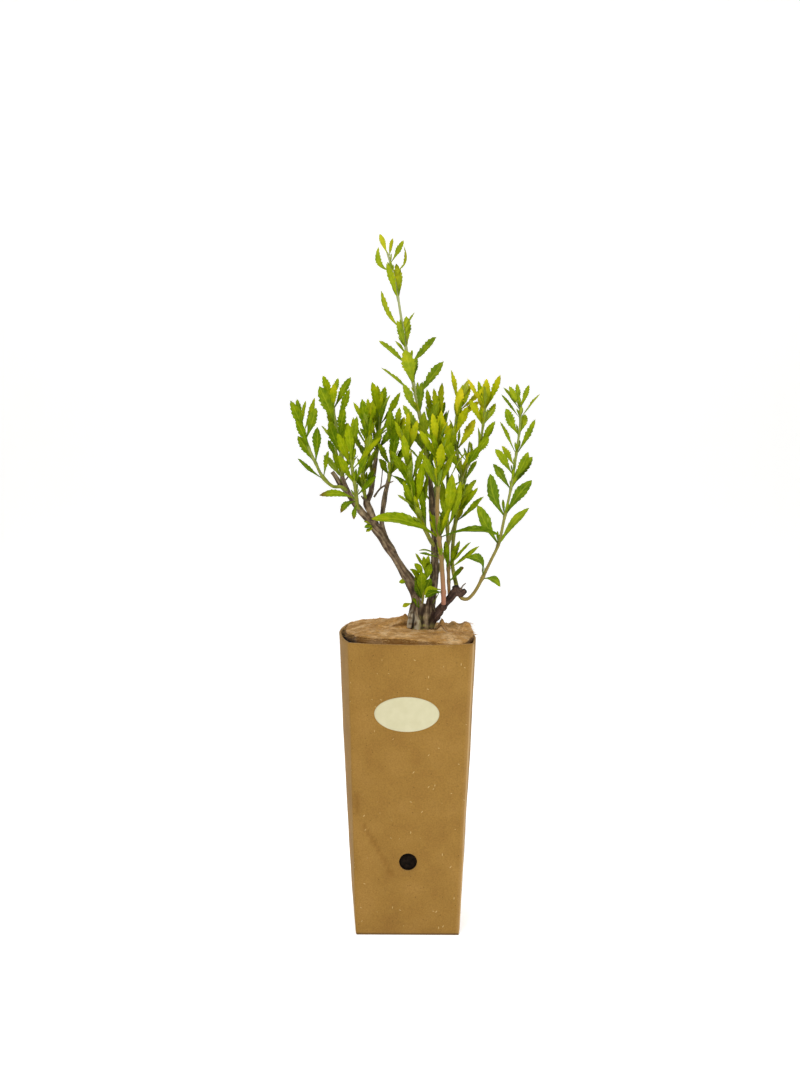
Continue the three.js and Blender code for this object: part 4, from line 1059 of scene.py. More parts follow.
# Ribs of the foot, where the roots begin, run up round the stock and lose themselves in the stems.
ROOT_RIBS = [
    [(-1.5, -11, 250, 3), (0, -12, 260, 2.8), (1.5, -12, 272, 2.4), (3, -10.5, 288, 1.5)],
    [(6.5, -17, 250, 2.8), (6.5, -16.6, 260, 2.6), (5.5, -14, 273, 2.1), (4.5, -11, 290, 1.2)],
    [(12.5, -17.6, 250, 3.2), (12.6, -16.8, 260, 2.9), (13, -13.5, 270, 2.2), (15, -10.5, 284, 1.2)],
    [(18, -14.5, 250, 2.8), (17.8, -13.8, 260, 2.6), (17.4, -12, 272, 2), (18, -9, 290, 1.3)],
    [(-1.5, -4, 250, 2.8), (-0.5, -4.4, 262, 2.4), (2, -5, 280, 1.6)],
    [(9, 1.4, 250, 3), (9, 0.6, 261, 2.6), (9, -3, 276, 1.4)],
    [(18, -3, 250, 2.8), (17.6, -3.4, 262, 2.4), (17.5, -5, 280, 1.5)],
]

# %% Woody stems
BARK_SPACING, BARK_SIDES = 0.9, 28
# The ridges' noise is read on a tube of this radius, drawn out along the stem by this share
RIDGE_TUBE, RIDGE_STRETCH, RIDGE_SIZE, RIDGE_TWIST = 5, 0.12, 2.2, 0.02
LUMP_SIZE = 8
FOOT_SWELL, FOOT_LUMP_SIZE = 0.22, 3.2
# The foot's lumps, its painted shade between the ribs, and its pale bark fade out between these heights
LUMPY_FOOT, HOLLOW_FOOT, PALE_FOOT = (284, 266), (284, 268), (276, 261)
# Painted shade between the ribs begins and is full at these dot products with the way out of the crown
HOLLOW_FACING, HOLLOW_SHARE = (0.45, -0.1), 0.85
PALE_PATCHES, PALE_SHARE = (-0.3, 0.15), 0.85
MOSSY_FROM = (5, 10)
# The rings of a cut end: share of the radius, height over the end, and how far it is cut wood
CUT_RINGS = [(0.9, 0.5, 0.6), (0.55, 0.45, 1.0), (0, 0.3, 1.0)]


def woody_stem(sheaf, rows, seed, slot, ridges=0.12, lumps=0.14):
    """A bark skin: the radius is raised by ridges that run along the stem and twist slowly, and
    by lumps; at the upper end it turns in over a flat cut. Near the ground a point takes painted
    shade when it faces away from the side that looks out of the crown, as in the gaps between
    the ribs: a dot product of the two directions on the plan. There the bark is also pale in
    patches, or mossy towards the right."""
    path = even_path(rows, steps=14, spacing=BARK_SPACING, least=8)
    points, along, angle, way = tube(path[:, :3], path[:, 3], BARK_SIDES)
    turn = angle[None] + RIDGE_TWIST * along[:, None]
    drawn_out = np.broadcast_to(along[:, None] * RIDGE_STRETCH, turn.shape)
    on_tube = np.stack([np.cos(turn) * RIDGE_TUBE, np.sin(turn) * RIDGE_TUBE, drawn_out], -1)
    swell = ridges * rough(on_tube, RIDGE_SIZE, seed, 2) + lumps * noise(points, LUMP_SIZE, seed + 7)
    foot_lumps = FOOT_SWELL * rough(points, FOOT_LUMP_SIZE, seed + 3, 2)
    swell += foot_lumps * smooth_step(*LUMPY_FOOT, points[..., 2])
    middle = path[:, None, :3]
    points = middle + (points - middle) * (1 + swell)[..., None]
    # Painted shade: near the ground, points that face into the gaps between the ribs are darkened
    out, away = points[..., :2] - middle[..., :2], middle[..., :2] - CROWN_AXIS
    reach = np.linalg.norm(out, axis=-1) * np.linalg.norm(away, axis=-1) + 1e-6
    hollow = HOLLOW_SHARE * smooth_step(*HOLLOW_FACING, (out * away).sum(-1) / reach)
    hollow *= smooth_step(*HOLLOW_FOOT, points[..., 2])
    hollow = np.concatenate([hollow[:1], hollow, np.zeros((len(CUT_RINGS), BARK_SIDES + 1))])
    start, end = np.broadcast_to(middle[0], points[:1].shape), points[-1] - middle[-1]
    cap = [middle[-1] + end * share + way[-1] * lift for share, lift, _ in CUT_RINGS]
    points = np.concatenate([start, points, np.stack(cap)])
    cut = np.concatenate([np.zeros(1 + len(path)), [bare for _, _, bare in CUT_RINGS]])
    rows_along = np.arange(len(points))[:, None] * BARK_SPACING / 10
    uv = np.stack(np.broadcast_arrays(angle[None] / np.pi, rows_along), -1)
    ragged = points[..., 2] + 9 * noise(points, 3.5, 31) + 0.5 * (points[..., 0] - 6)
    pale = PALE_SHARE * smooth_step(*PALE_FOOT, ragged)
    pale = pale * smooth_step(*PALE_PATCHES, noise(points, 2.4, 33))
    right = smooth_step(*MOSSY_FROM, points[..., 0])
    sheaf.add(
        points, grid_faces(len(points), BARK_SIDES + 1), slot, uv,
        foot=pale * (1 - right), moss=pale * right, hollow=hollow,
        cut=np.broadcast_to(cut[:, None], points.shape[:2]),
    )


# Which bark each stem of the crown has: 0 grey, 1 brown
STEM_BARKS = (1, 0, 0, 1, 0, 1, 1)

crown = Sheaf()
for number, (rows, slot) in enumerate(zip(CROWN_STEMS, STEM_BARKS)):
    woody_stem(crown, rows, 40 + number, slot)
for number, rows in enumerate(ROOT_RIBS):
    woody_stem(crown, rows, 80 + number, 0, ridges=0.2, lumps=0.45)
for number, rows in enumerate(TWIGS):
    woody_stem(crown, rows, 90 + number, 1)
crown.piece("bark_crown", [grey_bark, brown_bark], "woody_crown", merge=True)

branch = Sheaf()
for number, rows in enumerate([SIDE_BRANCH, *BRANCH_STUBS]):
    woody_stem(branch, rows, 61 + number, 0, lumps=0.24)
branch.piece("dark_branch", [dark_bark], "dark_side_branch", merge=True)

# %% [markdown]
# ## Leaves
#
# A leaf is spoon shaped: narrow at its foot, widest past the middle, with small teeth that point
# forward. It is folded along its rib, and its foot sits on the stem. Five points go across its
# face and seventeen rows along it, and one more row of points under the rib gives it thickness.
# All leaves of a shoot are worked out together as one array. Real blades could be subdivided,
# but teeth and fold show at this distance and the rest is relief in the material.

# %% Leaf outline
TEETH = 6
FIRST_TOOTH, TOOTH_STEP = 0.3, 0.108
WIDTH_STOPS = [0, 0.12, 0.24, 0.36, 0.48, 0.6, 0.72, 0.84, 0.93, 1]
WIDTH_SHARES = [0.15, 0.18, 0.3, 0.56, 0.84, 1, 0.97, 0.74, 0.46, 0.06]
NARROWER = 0.93
ROOT_OFFSET = 0.5
BLADE_FOLD = 0.36
RIB_LIFT = 0.28
USUAL_FACE, USUAL_BOW = 0.7, -0.02
# What each leaf draws for itself, from and to: curl and sway as shares of its length, twist in
# radians, the depth of its teeth and of its fold as shares of the usual
CURL, SWAY, TWIST = (-0.03, 0.05), (-0.025, 0.025), (-0.35, 0.35)
TOOTH_DRAW, FOLD_DRAW = (0.6, 1.4), (0.6, 1.35)
EDGE_WAVE, WAVES = 0.09, 2.3
CURLED_PART = (0.6, 1.0)

tooth_rows = FIRST_TOOTH + TOOTH_STEP * (np.arange(TEETH)[:, None] + [0.75, 1.0])
leaf_shares = np.concatenate([[0, 0.1, 0.2, FIRST_TOOTH], tooth_rows.ravel(), [1]])
leaf_widths = np.interp(leaf_shares, WIDTH_STOPS, WIDTH_SHARES)
notches = np.zeros(len(leaf_shares))
notches[5:-1:2] = 1.0
across = np.array([-1, -0.5, 0, 0.5, 1])
leaf_rows, leaf_columns = len(leaf_shares), len(across)


def leaf_face_list():
    """One leaf's faces: the upper grid, two strips from its edges to the row under the rib, and
    two faces each to close foot and tip. Edge points are shared by both sides."""
    top = grid_faces(leaf_rows, leaf_columns)
    k = np.arange(leaf_rows - 1)
    left, right = k * leaf_columns, k * leaf_columns + leaf_columns - 1
    under = leaf_rows * leaf_columns + k
    strips = np.concatenate([
        np.stack([left, left + leaf_columns, under + 1, under], -1),
        np.stack([under, under + 1, right + leaf_columns, right], -1),
    ])
    root = leaf_rows * leaf_columns
    tip, last = root + leaf_rows - 1, root - leaf_columns
    ends = [[root, 2, 1, 0], [root, 4, 3, 2]]
    ends += [[tip, last + k, last + k + 1, last + k + 2] for k in (0, 2)]
    return np.concatenate([top, strips, ends]), np.repeat([0, 1], [len(top), len(strips) + len(ends)])


LEAF_FACES, LEAF_SLOTS = leaf_face_list()
print("faces of one leaf:", len(LEAF_FACES))


def unit(vectors):
    """Vectors shortened to length one."""
    return vectors / np.linalg.norm(vectors, axis=-1, keepdims=True)


def square_to(vectors, along):
    """The part of each vector that stands square to a unit vector, at length one."""
    return unit(vectors - along * (vectors * along).sum(-1, keepdims=True))


def leaf_grids(axis, up, tip, width, face, bow, teeth, draw):
    """Leaves from points on the stem's axis to their tips. The rib is a line raised by a
    parabola; a row's points lie beside it at shares of its half width, lifted by the fold as a
    power of that share. Every leaf also twists, waves and curls a little by its own draw."""
    count = len(axis)
    foot = axis + ROOT_OFFSET * square_to(tip - axis, up)
    reach = tip - foot
    length = np.linalg.norm(reach, axis=-1)
    along = unit(reach)
    upper = square_to(up + np.stack([0 * face, -face, 0 * face], -1), along)
    aside = np.cross(along, upper)
    rise = square_to(up, along)
    s = leaf_shares[None, :]
    hump = 4 * bow[:, None] * length[:, None] * s * (1 - s)
    rib = foot[:, None] + reach[:, None] * s[..., None] + rise[:, None] * hump[..., None]
    curl = draw.uniform(*CURL, (count, 1)) * length[:, None] * smooth_step(*CURLED_PART, s)
    rib = rib - upper[:, None] * curl[..., None]
    sway = draw.uniform(*SWAY, (count, 1)) * length[:, None] * np.sin(np.pi * s)
    rib = rib + aside[:, None] * sway[..., None]
    twist = draw.uniform(*TWIST, (count, 1)) * s
    depth = np.asarray(teeth)[:, None] * notches * draw.uniform(*TOOTH_DRAW, (count, leaf_rows))
    half = leaf_widths[None] * (1 - depth) * width[:, None] / 2
    side = aside[:, None] * np.cos(twist)[..., None] + upper[:, None] * np.sin(twist)[..., None]
    normal = upper[:, None] * np.cos(twist)[..., None] - aside[:, None] * np.sin(twist)[..., None]
    fold = BLADE_FOLD * draw.uniform(*FOLD_DRAW, (count, 1)) * half
    wave = EDGE_WAVE * half * np.sin(2 * np.pi * (WAVES * s + draw.random((count, 1))))
    t = across[None, None]
    lift = fold[..., None] * np.abs(t) ** 1.3 + wave[..., None] * t * np.abs(t)
    lift = lift + RIB_LIFT * (1 - np.abs(t)) * (leaf_widths > 0.1)[None, :, None]
    top = rib[:, :, None] + side[:, :, None] * (half[..., None] * t)[..., None]
    top = top + normal[:, :, None] * lift[..., None]
    under = rib - normal * RIB_LIFT
    return np.concatenate([top.reshape(count, -1, 3), under], 1)


leaf_uv = np.concatenate([
    np.stack(np.broadcast_arrays((across[None] + 1) / 2, leaf_shares[:, None]), -1).reshape(-1, 2),
    np.stack([np.full(leaf_rows, 0.5), leaf_shares], -1),
])
leaf_margin = np.concatenate([np.tile([1.0, 0, 0, 0, 1], leaf_rows), np.zeros(leaf_rows)])

# %% Leaves with their colour numbers
OWN_TONE, FOOT_TONE, OWN_BLOOM = 0.14, 0.1, 0.03
BROWN_TIP = (0.72, 0.95)


def add_leaves(sheaf, axis, up, rows, draw, tone, teeth, bloom=0.0, brown=0.0):
    """Adds leaves to a mesh with their colour numbers: each has its own shade, drawn round the
    given one, and is a little younger towards its foot. The given share of its tip is brown."""
    table = np.array([list(row) + [USUAL_FACE, USUAL_BOW][len(row) - 5 :] for row in rows], float)
    tip, width, face, bow = table[:, 1:4], table[:, 4] * NARROWER, table[:, 5], table[:, 6]
    grids = leaf_grids(axis, up, tip, width, face, bow, np.broadcast_to(teeth, len(rows)), draw)
    count, size = grids.shape[:2]
    faces = (LEAF_FACES[None] + size * np.arange(count)[:, None, None]).reshape(-1, 4)
    own_tone = tone + draw.uniform(-OWN_TONE, OWN_TONE, count)
    towards_foot = 0.5 - leaf_uv[None, :, 1]
    spread = own_tone[:, None] + FOOT_TONE * towards_foot * draw.uniform(0, 1.5, (count, 1))
    own_bloom = np.repeat(bloom + draw.uniform(0, OWN_BLOOM, count), size)
    at_tip = np.broadcast_to(brown, count)[:, None] * smooth_step(*BROWN_TIP, leaf_uv[None, :, 1])
    sheaf.add(
        grids, faces, np.tile(LEAF_SLOTS, count), np.tile(leaf_uv, (count, 1)),
        tone=spread, bloom=own_bloom, brown=at_tip, margin=np.tile(leaf_margin, count),
    )


# %% [markdown]
# ## Shoots
#
# Each shoot is a soft stem through measured points with leaves whose tips were measured too. A
# row of a leaf holds the height of its foot on the stem, the tip's place, its width, and for
# some how far it turns to the front and how much it arches. On the far side of the plant, where
# the photograph shows nothing, opposite pairs take a quarter turn from one to the next. All
# leaves could be scattered by a rule, but the ones that are seen have their own places.

# %% Shoot tables
SHOOTS = {}
SHOOTS["leader_shoot"] = {
    "seed": 1,
    "stem": [
        (17.5, -2, 366, 1.5), (17, -2, 374, 1.5), (10, -4, 420, 1.4), (2, -2, 462, 1.3), (-6, 1, 498, 1.15),
        (-13, 2, 539, 1), (-18, 1, 562, 0.9), (-23, 0, 579, 0.7),
    ],
    "leaves": [
        (577, -29, -2, 593, 6), (574, -18, 4, 590, 6, 0.3), (569, -9.5, -3, 588, 7),
        (562, -30, -3, 582, 7, 0.7, -0.3), (561, -8.5, 2, 583, 7, 0.3, -0.28), (540, -23, -6, 568, 8, 1),
        (540, -15, 6, 569, 9, 1, -0.05), (513, -27.5, 3, 546, 8, 0.5, -0.12), (512, 0, -4, 528, 4),
        (498, -14, -7, 521, 8, 1), (498, -6, 8, 525, 9, 1), (492, -15, 6, 504, 4),
        (481, -29, 3, 504, 8, 0.4, 0), (484, 20, -4, 507, 12, 1, -0.02), (468, -7, -16, 496, 14, 1),
        (470, 3, 12, 490, 8, 0.6), (458, -26.5, -3, 481, 8, 0.4, 0), (457, 26, -4, 487, 12, 1),
        (442, -8, -8, 468, 9, 1), (443, 8, -13, 470, 9, 1), (425, -8, -9, 450, 9, 1),
        (426, 22, -8, 453, 9, 1), (414, 9, -21, 445, 10, 1), (408, -3, -10, 436, 8, 1),
        (408, 25, -6, 431, 8), (396, 21, -12, 426, 9),
    ],
}
SHOOTS["far_left_shoot"] = {
    "seed": 2,
    "stem": [
        (-55, -3.5, 377, 1.5), (-60, -7, 380, 1.5), (-67, -8, 380.5, 1.4), (-76, -9, 389, 1.4),
        (-81, -10, 399, 1.2), (-87, -10, 412, 1.1), (-91, -9, 423, 1), (-95, -8, 431, 0.8),
    ],
    "leaves": [
        (386, -97, -14, 404, 6, 0.2), (388, -71, -16, 411, 7), (400, -97, -6, 423, 9),
        (401, -80, -14, 431, 10), (413, -98, -14, 437, 8, 0.4), (422, -103, -12, 453, 9),
        (421, -82, -12, 447, 11, 1), (429, -98, -4, 454, 7), (430, -91, -10, 453, 6), (426, -83, 4, 455, 7),
    ],
}
SHOOTS["left_shoot"] = {
    "seed": 3,
    "stem": [
        (-57.5, -1, 378, 1.6), (-59.5, 2, 383, 1.6), (-59, 3, 399, 1.5), (-63, 1, 423, 1.3),
        (-67, 0, 445, 1.1), (-68, -1, 457, 0.8),
    ],
    "leaves": [
        (391, -67.5, -5, 408, 9, 1), (393, -48, 8, 412, 8), (407, -71, -6, 436, 11, 1),
        (408, -56, 12, 434, 9), (420, -58, -16, 446, 10, 1), (422, -72, 14, 446, 9),
        (433, -79, -6, 465, 13, 1), (433, -54, -4, 463, 9), (446, -53, 4, 473, 9),
        (446, -66, -10, 468, 8, 1), (451, -76, -3, 474, 8), (455, -63.5, 2, 472, 6),
    ],
}
SHOOTS["front_left_shoot"] = {
    "seed": 4,
    "stem": [
        (-44, -4.5, 360, 1.6), (-46, -8, 364, 1.5), (-47.5, -14, 376, 1.4), (-49, -18, 388, 1.3),
        (-51, -20, 400, 1.1), (-52, -21, 410, 0.8),
    ],
    "placed": [
        (-31, -6.5, 347, -40, -9, 346, 5, 1), (-31.5, -6.5, 346, -38.5, -9, 342, 4.5, 1),
        (-32, -6, 348, -40.5, -8, 350.5, 4),
    ],
    "leaves": [
        (370, -78, -16, 374, 8, 0.8, 0.1), (368, -60, -17, 359, 8, 1, 0.2),
        (366, -49, -15, 353, 5, 0.8, 0.1), (373, -30, -20, 390, 7), (384, -63, -24, 408, 9),
        (385, -38, -30, 408, 8), (396, -27, -26, 424, 8, 0.8), (397, -63, -18, 426, 9),
        (403, -54, -28, 435, 9, 1), (408, -50, -18, 440, 6), (409, -46.5, -24, 441, 7),
    ],
}
SHOOTS["left_knob_shoot"] = {
    "seed": 5,
    "stem": [
        (-38, -2.5, 366, 1.6), (-39.5, -4, 371, 1.5), (-41.5, -6, 388, 1.4), (-39, -7, 407, 1.2),
        (-37, -8, 427, 1), (-37.5, -8, 438, 0.8),
    ],
    "leaves": [
        (378, -31, -11, 397, 8, 1), (377, -51, -10, 395, 7), (391, -30, -14, 412, 8),
        (404, -26, -8, 430, 8), (406, -52, -8, 428, 8), (420, -43, -14, 455, 12, 1),
        (421, -34, -4, 453, 12, 1), (430, -50, -5, 452, 7, 0.5), (434, -31, -12, 449, 6),
        (434, -38, -4, 455, 6),
    ],
}
SHOOTS["left_inner_shoot"] = {
    "seed": 6,
    "stem": [
        (-31, 0, 400, 1.5), (-30.5, 1, 405, 1.5), (-29, 3, 420, 1.3), (-27.5, 4, 433, 1.1),
        (-27, 4, 450, 0.8),
    ],
    "leaves": [
        (410, -44, 10, 430, 8), (411, -16, 6, 430, 8), (423, -30, 18, 450, 9), (438, -34.5, 0, 469, 9),
        (440, -23.5, 8, 465, 8), (433, -10, 8, 460, 8), (447, -30, 8, 466, 6),
    ],
}
SHOOTS["centre_left_shoot"] = {
    "seed": 7,
    "stem": [
        (-19.5, 1.5, 384, 1.5), (-19, 1, 389, 1.5), (-17, -4, 401, 1.3), (-15, -8, 416, 1.1),
        (-14, -9, 429, 0.8),
    ],
    "leaves": [
        (390, -28, -7, 404, 9, 1), (391, -9, -7, 406, 9, 1), (390, -4, -8, 379, 6, 0.8, 0.1),
        (398, -29, -12, 418, 9), (399, -3, -3, 415, 8), (403, -14, -16, 432, 10, 1),
        (414, -19, -12, 446, 10, 1), (415, -7, -3, 440, 8), (423, -11, -8, 448, 7), (424, -20, -3, 446, 6),
    ],
}
SHOOTS["centre_shoot"] = {
    "seed": 8,
    "stem": [
        (19.5, -2, 358, 1.6), (20.5, 2, 366, 1.5), (22, 10, 386, 1.4), (22.5, 14, 404, 1.2),
        (21.5, 15, 420, 1), (21, 14, 432, 0.8),
    ],
    "leaves": [
        (392, 8, 20, 418, 9), (394, 38, 22, 416, 8), (408, 18, 6, 450, 10, 1), (409, 30, 22, 444, 8),
        (416, 32, 8, 446, 7, 0.3), (426, 25.5, 8, 469, 9, 1), (428, 18, 4, 464, 9, 1),
        (429, 13, 16, 463, 8),
    ],
}
SHOOTS["low_centre_shoot"] = {
    "seed": 9,
    "stem": [
        (20, -5, 330, 2), (16, -7, 336, 1.8), (8, -10, 354, 1.6), (3, -12, 366, 1.4), (-0.5, -12, 380, 1.2),
        (-2.5, -15, 395, 1.1), (-4, -18, 420, 0.8),
    ],
    "leaves": [
        (344, 6, -17, 384, 8, 1), (350, -6.5, -14, 377, 6, 0.3), (354, 13, -14, 391, 8, 1),
        (364, -9, -18, 403, 11, 1), (365, 8, -22, 402, 10, 1), (382, -18, -22, 412, 9),
        (384, 10, -18, 414, 9), (396, -8, -34, 426, 10, 1), (410, -15, -22, 437, 8), (411, 3, -26, 438, 9),
        (417, -4, -19, 444, 7),
    ],
}
SHOOTS["front_shoot"] = {
    "seed": 10,
    "stem": [
        (27.4, -14.5, 278.4, 2.2), (28, -18.5, 282, 2.1), (26, -19, 316, 1.9), (23.5, -20, 338, 1.85),
        (21.5, -19, 363, 1.8), (22, -19, 381, 1.6), (22, -20, 396, 1.3), (20, -21, 420, 0.9),
    ],
    "leaves": [
        (292, 12, -28, 289, 10, 0.8, 0.1), (322, 7, -22, 326, 6, 0.2),
        (338.5, -33.5, -30, 356, 17, 1.05, 0.09), (338.5, 74.5, -27, 342, 12, 0.6, 0.1),
        (380, 8, -26, 410, 10, 1), (381, 34, -26, 410, 9), (392, 24, -36, 420, 11, 1),
        (404, 6, -30, 430, 9), (406, 33, -28, 432, 9), (416, 16, -30, 444, 9, 1), (417, 24, -16, 446, 8),
    ],
}
SHOOTS["thin_stem_shoot"] = {
    "seed": 11,
    "stem": [
        (33.5, -13, 285, 1.5), (33, -11, 290, 1.4), (32, -6, 316, 1.4), (31, -5, 346, 1.4),
        (30, -4, 369, 1.3), (31, 1, 388, 1.1), (30, 4, 412, 0.8),
    ],
    "leaves": [
        (300, 45, -20, 313, 15, 1), (310, 58, -16, 331, 7, 0.9), (313, 50, -18, 335, 7, 0.9),
        (344, 26, -13, 386, 9, 1), (346, 41, -14, 386, 9, 1), (350, 34, -18, 393, 12, 1),
        (356, 44, -8, 384, 8), (386, 44, -15, 412, 8), (388, 20, -10, 414, 8), (404, 37, -6.5, 434, 9),
        (406, 33, 12, 434, 8),
    ],
}
SHOOTS["right_forked_shoot"] = {
    "seed": 12,
    "stem": [
        (39.5, -13, 292, 1.9), (39, -10, 297, 1.8), (36, -1, 312, 1.6), (36, 4, 326, 1.6),
        (39, 5, 355, 1.5), (43, 4, 388, 1.4), (38.5, 4, 411, 1.2), (36.5, 4, 425, 1.1), (38, 4, 440, 1),
        (41.5, 4, 453, 0.8),
    ],
    "fork": [
        (42.5, 4, 386, 1.3), (47, 2, 398, 1.1), (57, 0, 414, 1), (60, 0, 430, 1), (62.5, 0, 454, 0.8),
    ],
    "leaves": [
        (350, 62, -4, 372, 9, 0.6), (359, 56.5, 2, 380, 6), (366, 53.5, 8, 384, 6), (388, 53, 10, 412, 8),
        (393, 24, -13, 424, 13, 1), (412, 54, 10, 438, 10, 1), (414, 22, 4, 441, 10),
        (424, 47, -2, 449, 9, 1), (438, 57.5, 8, 453, 8, 1), (440, 41, -6, 465, 9, 1),
        (445, 61, 8, 464, 7, 0.3), (447, 49, -2, 467, 8, 1), (450, 33.5, 4, 480, 7),
    ],
    "fork_leaves": [
        (399, 55, -8, 414, 10, 1), (407, 65, -6, 424, 9, 1), (405, 49.5, -4, 419, 8),
        (414, 70, -4, 437, 7, 0.4), (433, 49, -6, 455, 8, 1), (434, 71, 6, 452, 7), (443, 57, 6, 460, 7),
        (447, 74, -3, 476, 8, 0.4), (448, 46, -8, 473, 7, 0.6), (451, 62, -6, 473, 9, 1),
    ],
}
SHOOTS["right_arching_shoot"] = {
    "seed": 13,
    "stem": [
        (41, -13.5, 290, 1.7), (44, -13, 286, 1.6), (48.5, -13, 285.5, 1.5), (54, -14, 291, 1.4),
        (61, -14, 304, 1.4), (68, -14, 319, 1.3), (74, -13, 332, 1.3), (79, -12, 355, 1.2),
        (84.5, -11, 382, 1.1), (88.5, -10, 411, 1), (91, -10, 434, 0.9), (91, -10, 452, 0.7),
    ],
    "leaves": [
        (305, 46, -24, 322, 13, 1, 0.3), (303, 76, -18, 297, 9, 1, 0.22), (333, 55, -17, 366, 13, 1, -0.04),
        (332, 100, -8, 364, 9, 0.4, 0.03), (357, 66, -17, 393, 14, 1, -0.08),
        (358, 101, -14, 388, 11, 0.9, 0.03), (380, 69, -9, 401, 11, 0.9),
        (381, 102.5, -6, 407, 11, 0.9, 0.03), (387, 98, -18, 412, 9, 1), (392, 70.5, -14, 414, 10, 0.9),
        (400, 76.5, -2, 416, 9), (410, 74.5, -12, 437, 7, 0.4), (410, 104, -10, 439, 7, 0.5),
        (426, 78, -15, 448, 11, 1, -0.05), (427, 96, -2, 443, 8), (440, 75.5, -6, 460, 4),
        (441, 106, -14, 461, 6, 0.3), (447, 77, -10, 466, 5), (449, 98.5, -6, 468, 6),
        (450, 81.5, -12, 467, 7, 1), (451, 88, -9, 469, 6),
    ],
}
SHOOTS["basal_shoot"] = {
    "seed": 14,
    "stem": [
        (10, -9, 268, 1.2), (10.5, -9, 285, 1), (12, -10, 300, 0.9), (13, -10, 314, 0.7),
    ],
    "leaves": [
        (276, 2, -16, 286, 7, 1), (284, 3, -15, 301, 11, 0.8), (287, 9, -14, 309, 10, 1),
        (290, 17, -14, 303, 8, 1), (294, 4, -10, 307, 9, 1), (296, -0.5, -12, 311, 10, 0.6),
        (299, 17, -13, 316, 7, 0.6), (303, 3, -15, 316, 8, 0.8), (305, 15, -9, 322, 6, 0.6),
        (307, 10.5, -13, 322, 6, 1), (310, 3.5, -11, 324, 5, 0.4),
    ],
    "placed": [
        (23, -6.5, 322, 7, -9, 327, 4, 0.2, 0.08), (26, -18, 294, 11.5, -21, 290, 9, 1, 0.12),
        (-1, -8, 300.5, -10, -10, 299, 5, 0.9), (2, -11, 281.5, -6.8, -14, 278.5, 5.5, 0.5),
        (17, -9.5, 279, 24.5, -18, 291.5, 2, 0.3),
    ],
}
SHOOTS["back_centre_shoot"] = {
    "seed": 15,
    "stem": [
        (20.5, -3, 330, 1.7), (20.5, 0, 334, 1.6), (21, 14, 352, 1.5), (17, 29, 378, 1.3),
        (13, 37, 405, 1.1), (11, 40, 434, 0.8),
    ],
    "pairs": (364, 430, 16, 29, 10),
}
SHOOTS["back_left_shoot"] = {
    "seed": 16,
    "stem": [
        (-33, 3, 386, 1.5), (-35, 12, 398, 1.4), (-38, 20, 416, 1.2), (-39, 24, 438, 0.8),
    ],
    "pairs": (398, 434, 15, 28, 60),
}
SHOOTS["back_far_left_shoot"] = {
    "seed": 17,
    "stem": [
        (-53, 0, 370, 1.5), (-58, 12, 383, 1.4), (-64, 22, 402, 1.2), (-67, 27, 424, 0.8),
    ],
    "pairs": (386, 420, 15, 26, 35),
}
SHOOTS["back_right_shoot"] = {
    "seed": 18,
    "stem": [
        (20, -4, 300, 1.8), (22, -1, 304, 1.7), (30, 14, 322, 1.6), (40, 26, 350, 1.4), (47, 32, 382, 1.2),
        (51, 34, 418, 0.8),
    ],
    "pairs": (352, 414, 16, 28, 50),
}

# %% [markdown]
# Every shoot has its own shade: the tops that stand in the light are yellow green, and the inner
# and back shoots and the lower leaves of each are darker, by age and by painted shade. Two of the
# tops carry a grey bloom. The numbers are the shade at the foot and at the top from 0 dark to 1
# yellow, the bloom on leaves, the bloom on the stem, and how woody and how pink the stem's foot is.

# %% Shades, and what differs from shoot to shoot
SHADES = {
    "leader_shoot": (0.27, 0.62, 0.05, 0.75, 0.15, 0.0),
    "far_left_shoot": (0.24, 0.42, 0.0, 0.15, 0.1, 0.0),
    "left_shoot": (0.3, 0.46, 0.0, 0.15, 0.1, 0.0),
    "front_left_shoot": (0.3, 0.46, 0.0, 0.1, 0.2, 0.0),
    "left_knob_shoot": (0.28, 0.5, 0.0, 0.1, 0.1, 0.0),
    "left_inner_shoot": (0.28, 0.48, 0.0, 0.1, 0.1, 0.0),
    "centre_left_shoot": (0.3, 0.5, 0.0, 0.1, 0.2, 0.0),
    "centre_shoot": (0.28, 0.48, 0.0, 0.1, 0.1, 0.0),
    "low_centre_shoot": (0.3, 0.52, 0.0, 0.1, 0.3, 0.0),
    "front_shoot": (0.15, 0.58, 0.0, 0.0, 0.85, 0.95),
    "thin_stem_shoot": (0.36, 0.54, 0.0, 0.0, 0.7, 0.4),
    "right_forked_shoot": (0.34, 0.74, 0.0, 0.1, 0.3, 0.0),
    "right_arching_shoot": (0.32, 0.44, 0.03, 0.2, 0.6, 0.1),
    "basal_shoot": (0.1, 0.56, 0.0, 0.0, 0.6, 0.0),
    "back_centre_shoot": (0.25, 0.35, 0.0, 0.1, 0.3, 0.0),
    "back_left_shoot": (0.25, 0.35, 0.0, 0.1, 0.2, 0.0),
    "back_far_left_shoot": (0.28, 0.38, 0.0, 0.1, 0.2, 0.0),
    "back_right_shoot": (0.25, 0.35, 0.0, 0.1, 0.3, 0.0),
}
# Shoots whose leaves are narrower than usual
SLIM_LEAVES = {
    "low_centre_shoot": 0.82, "front_shoot": 0.86, "centre_shoot": 0.86, "thin_stem_shoot": 0.86,
    "left_knob_shoot": 0.9,
}
# Leaves with a foot lower than this are old and their tips have turned brown
BROWN_BELOW = {"front_left_shoot": 372, "left_knob_shoot": 380, "thin_stem_shoot": 302}
BROWN_SHARE = 0.8
# The depth of the teeth as a share of half the leaf's width: low down, what it gains in height,
# and between which heights; then that of the leaves that go with the measured ones
TEETH_LOW, TEETH_GAIN, TEETH_HEIGHTS = 0.1, 0.14, (320, 430)
EXTRA_TEETH = 0.18

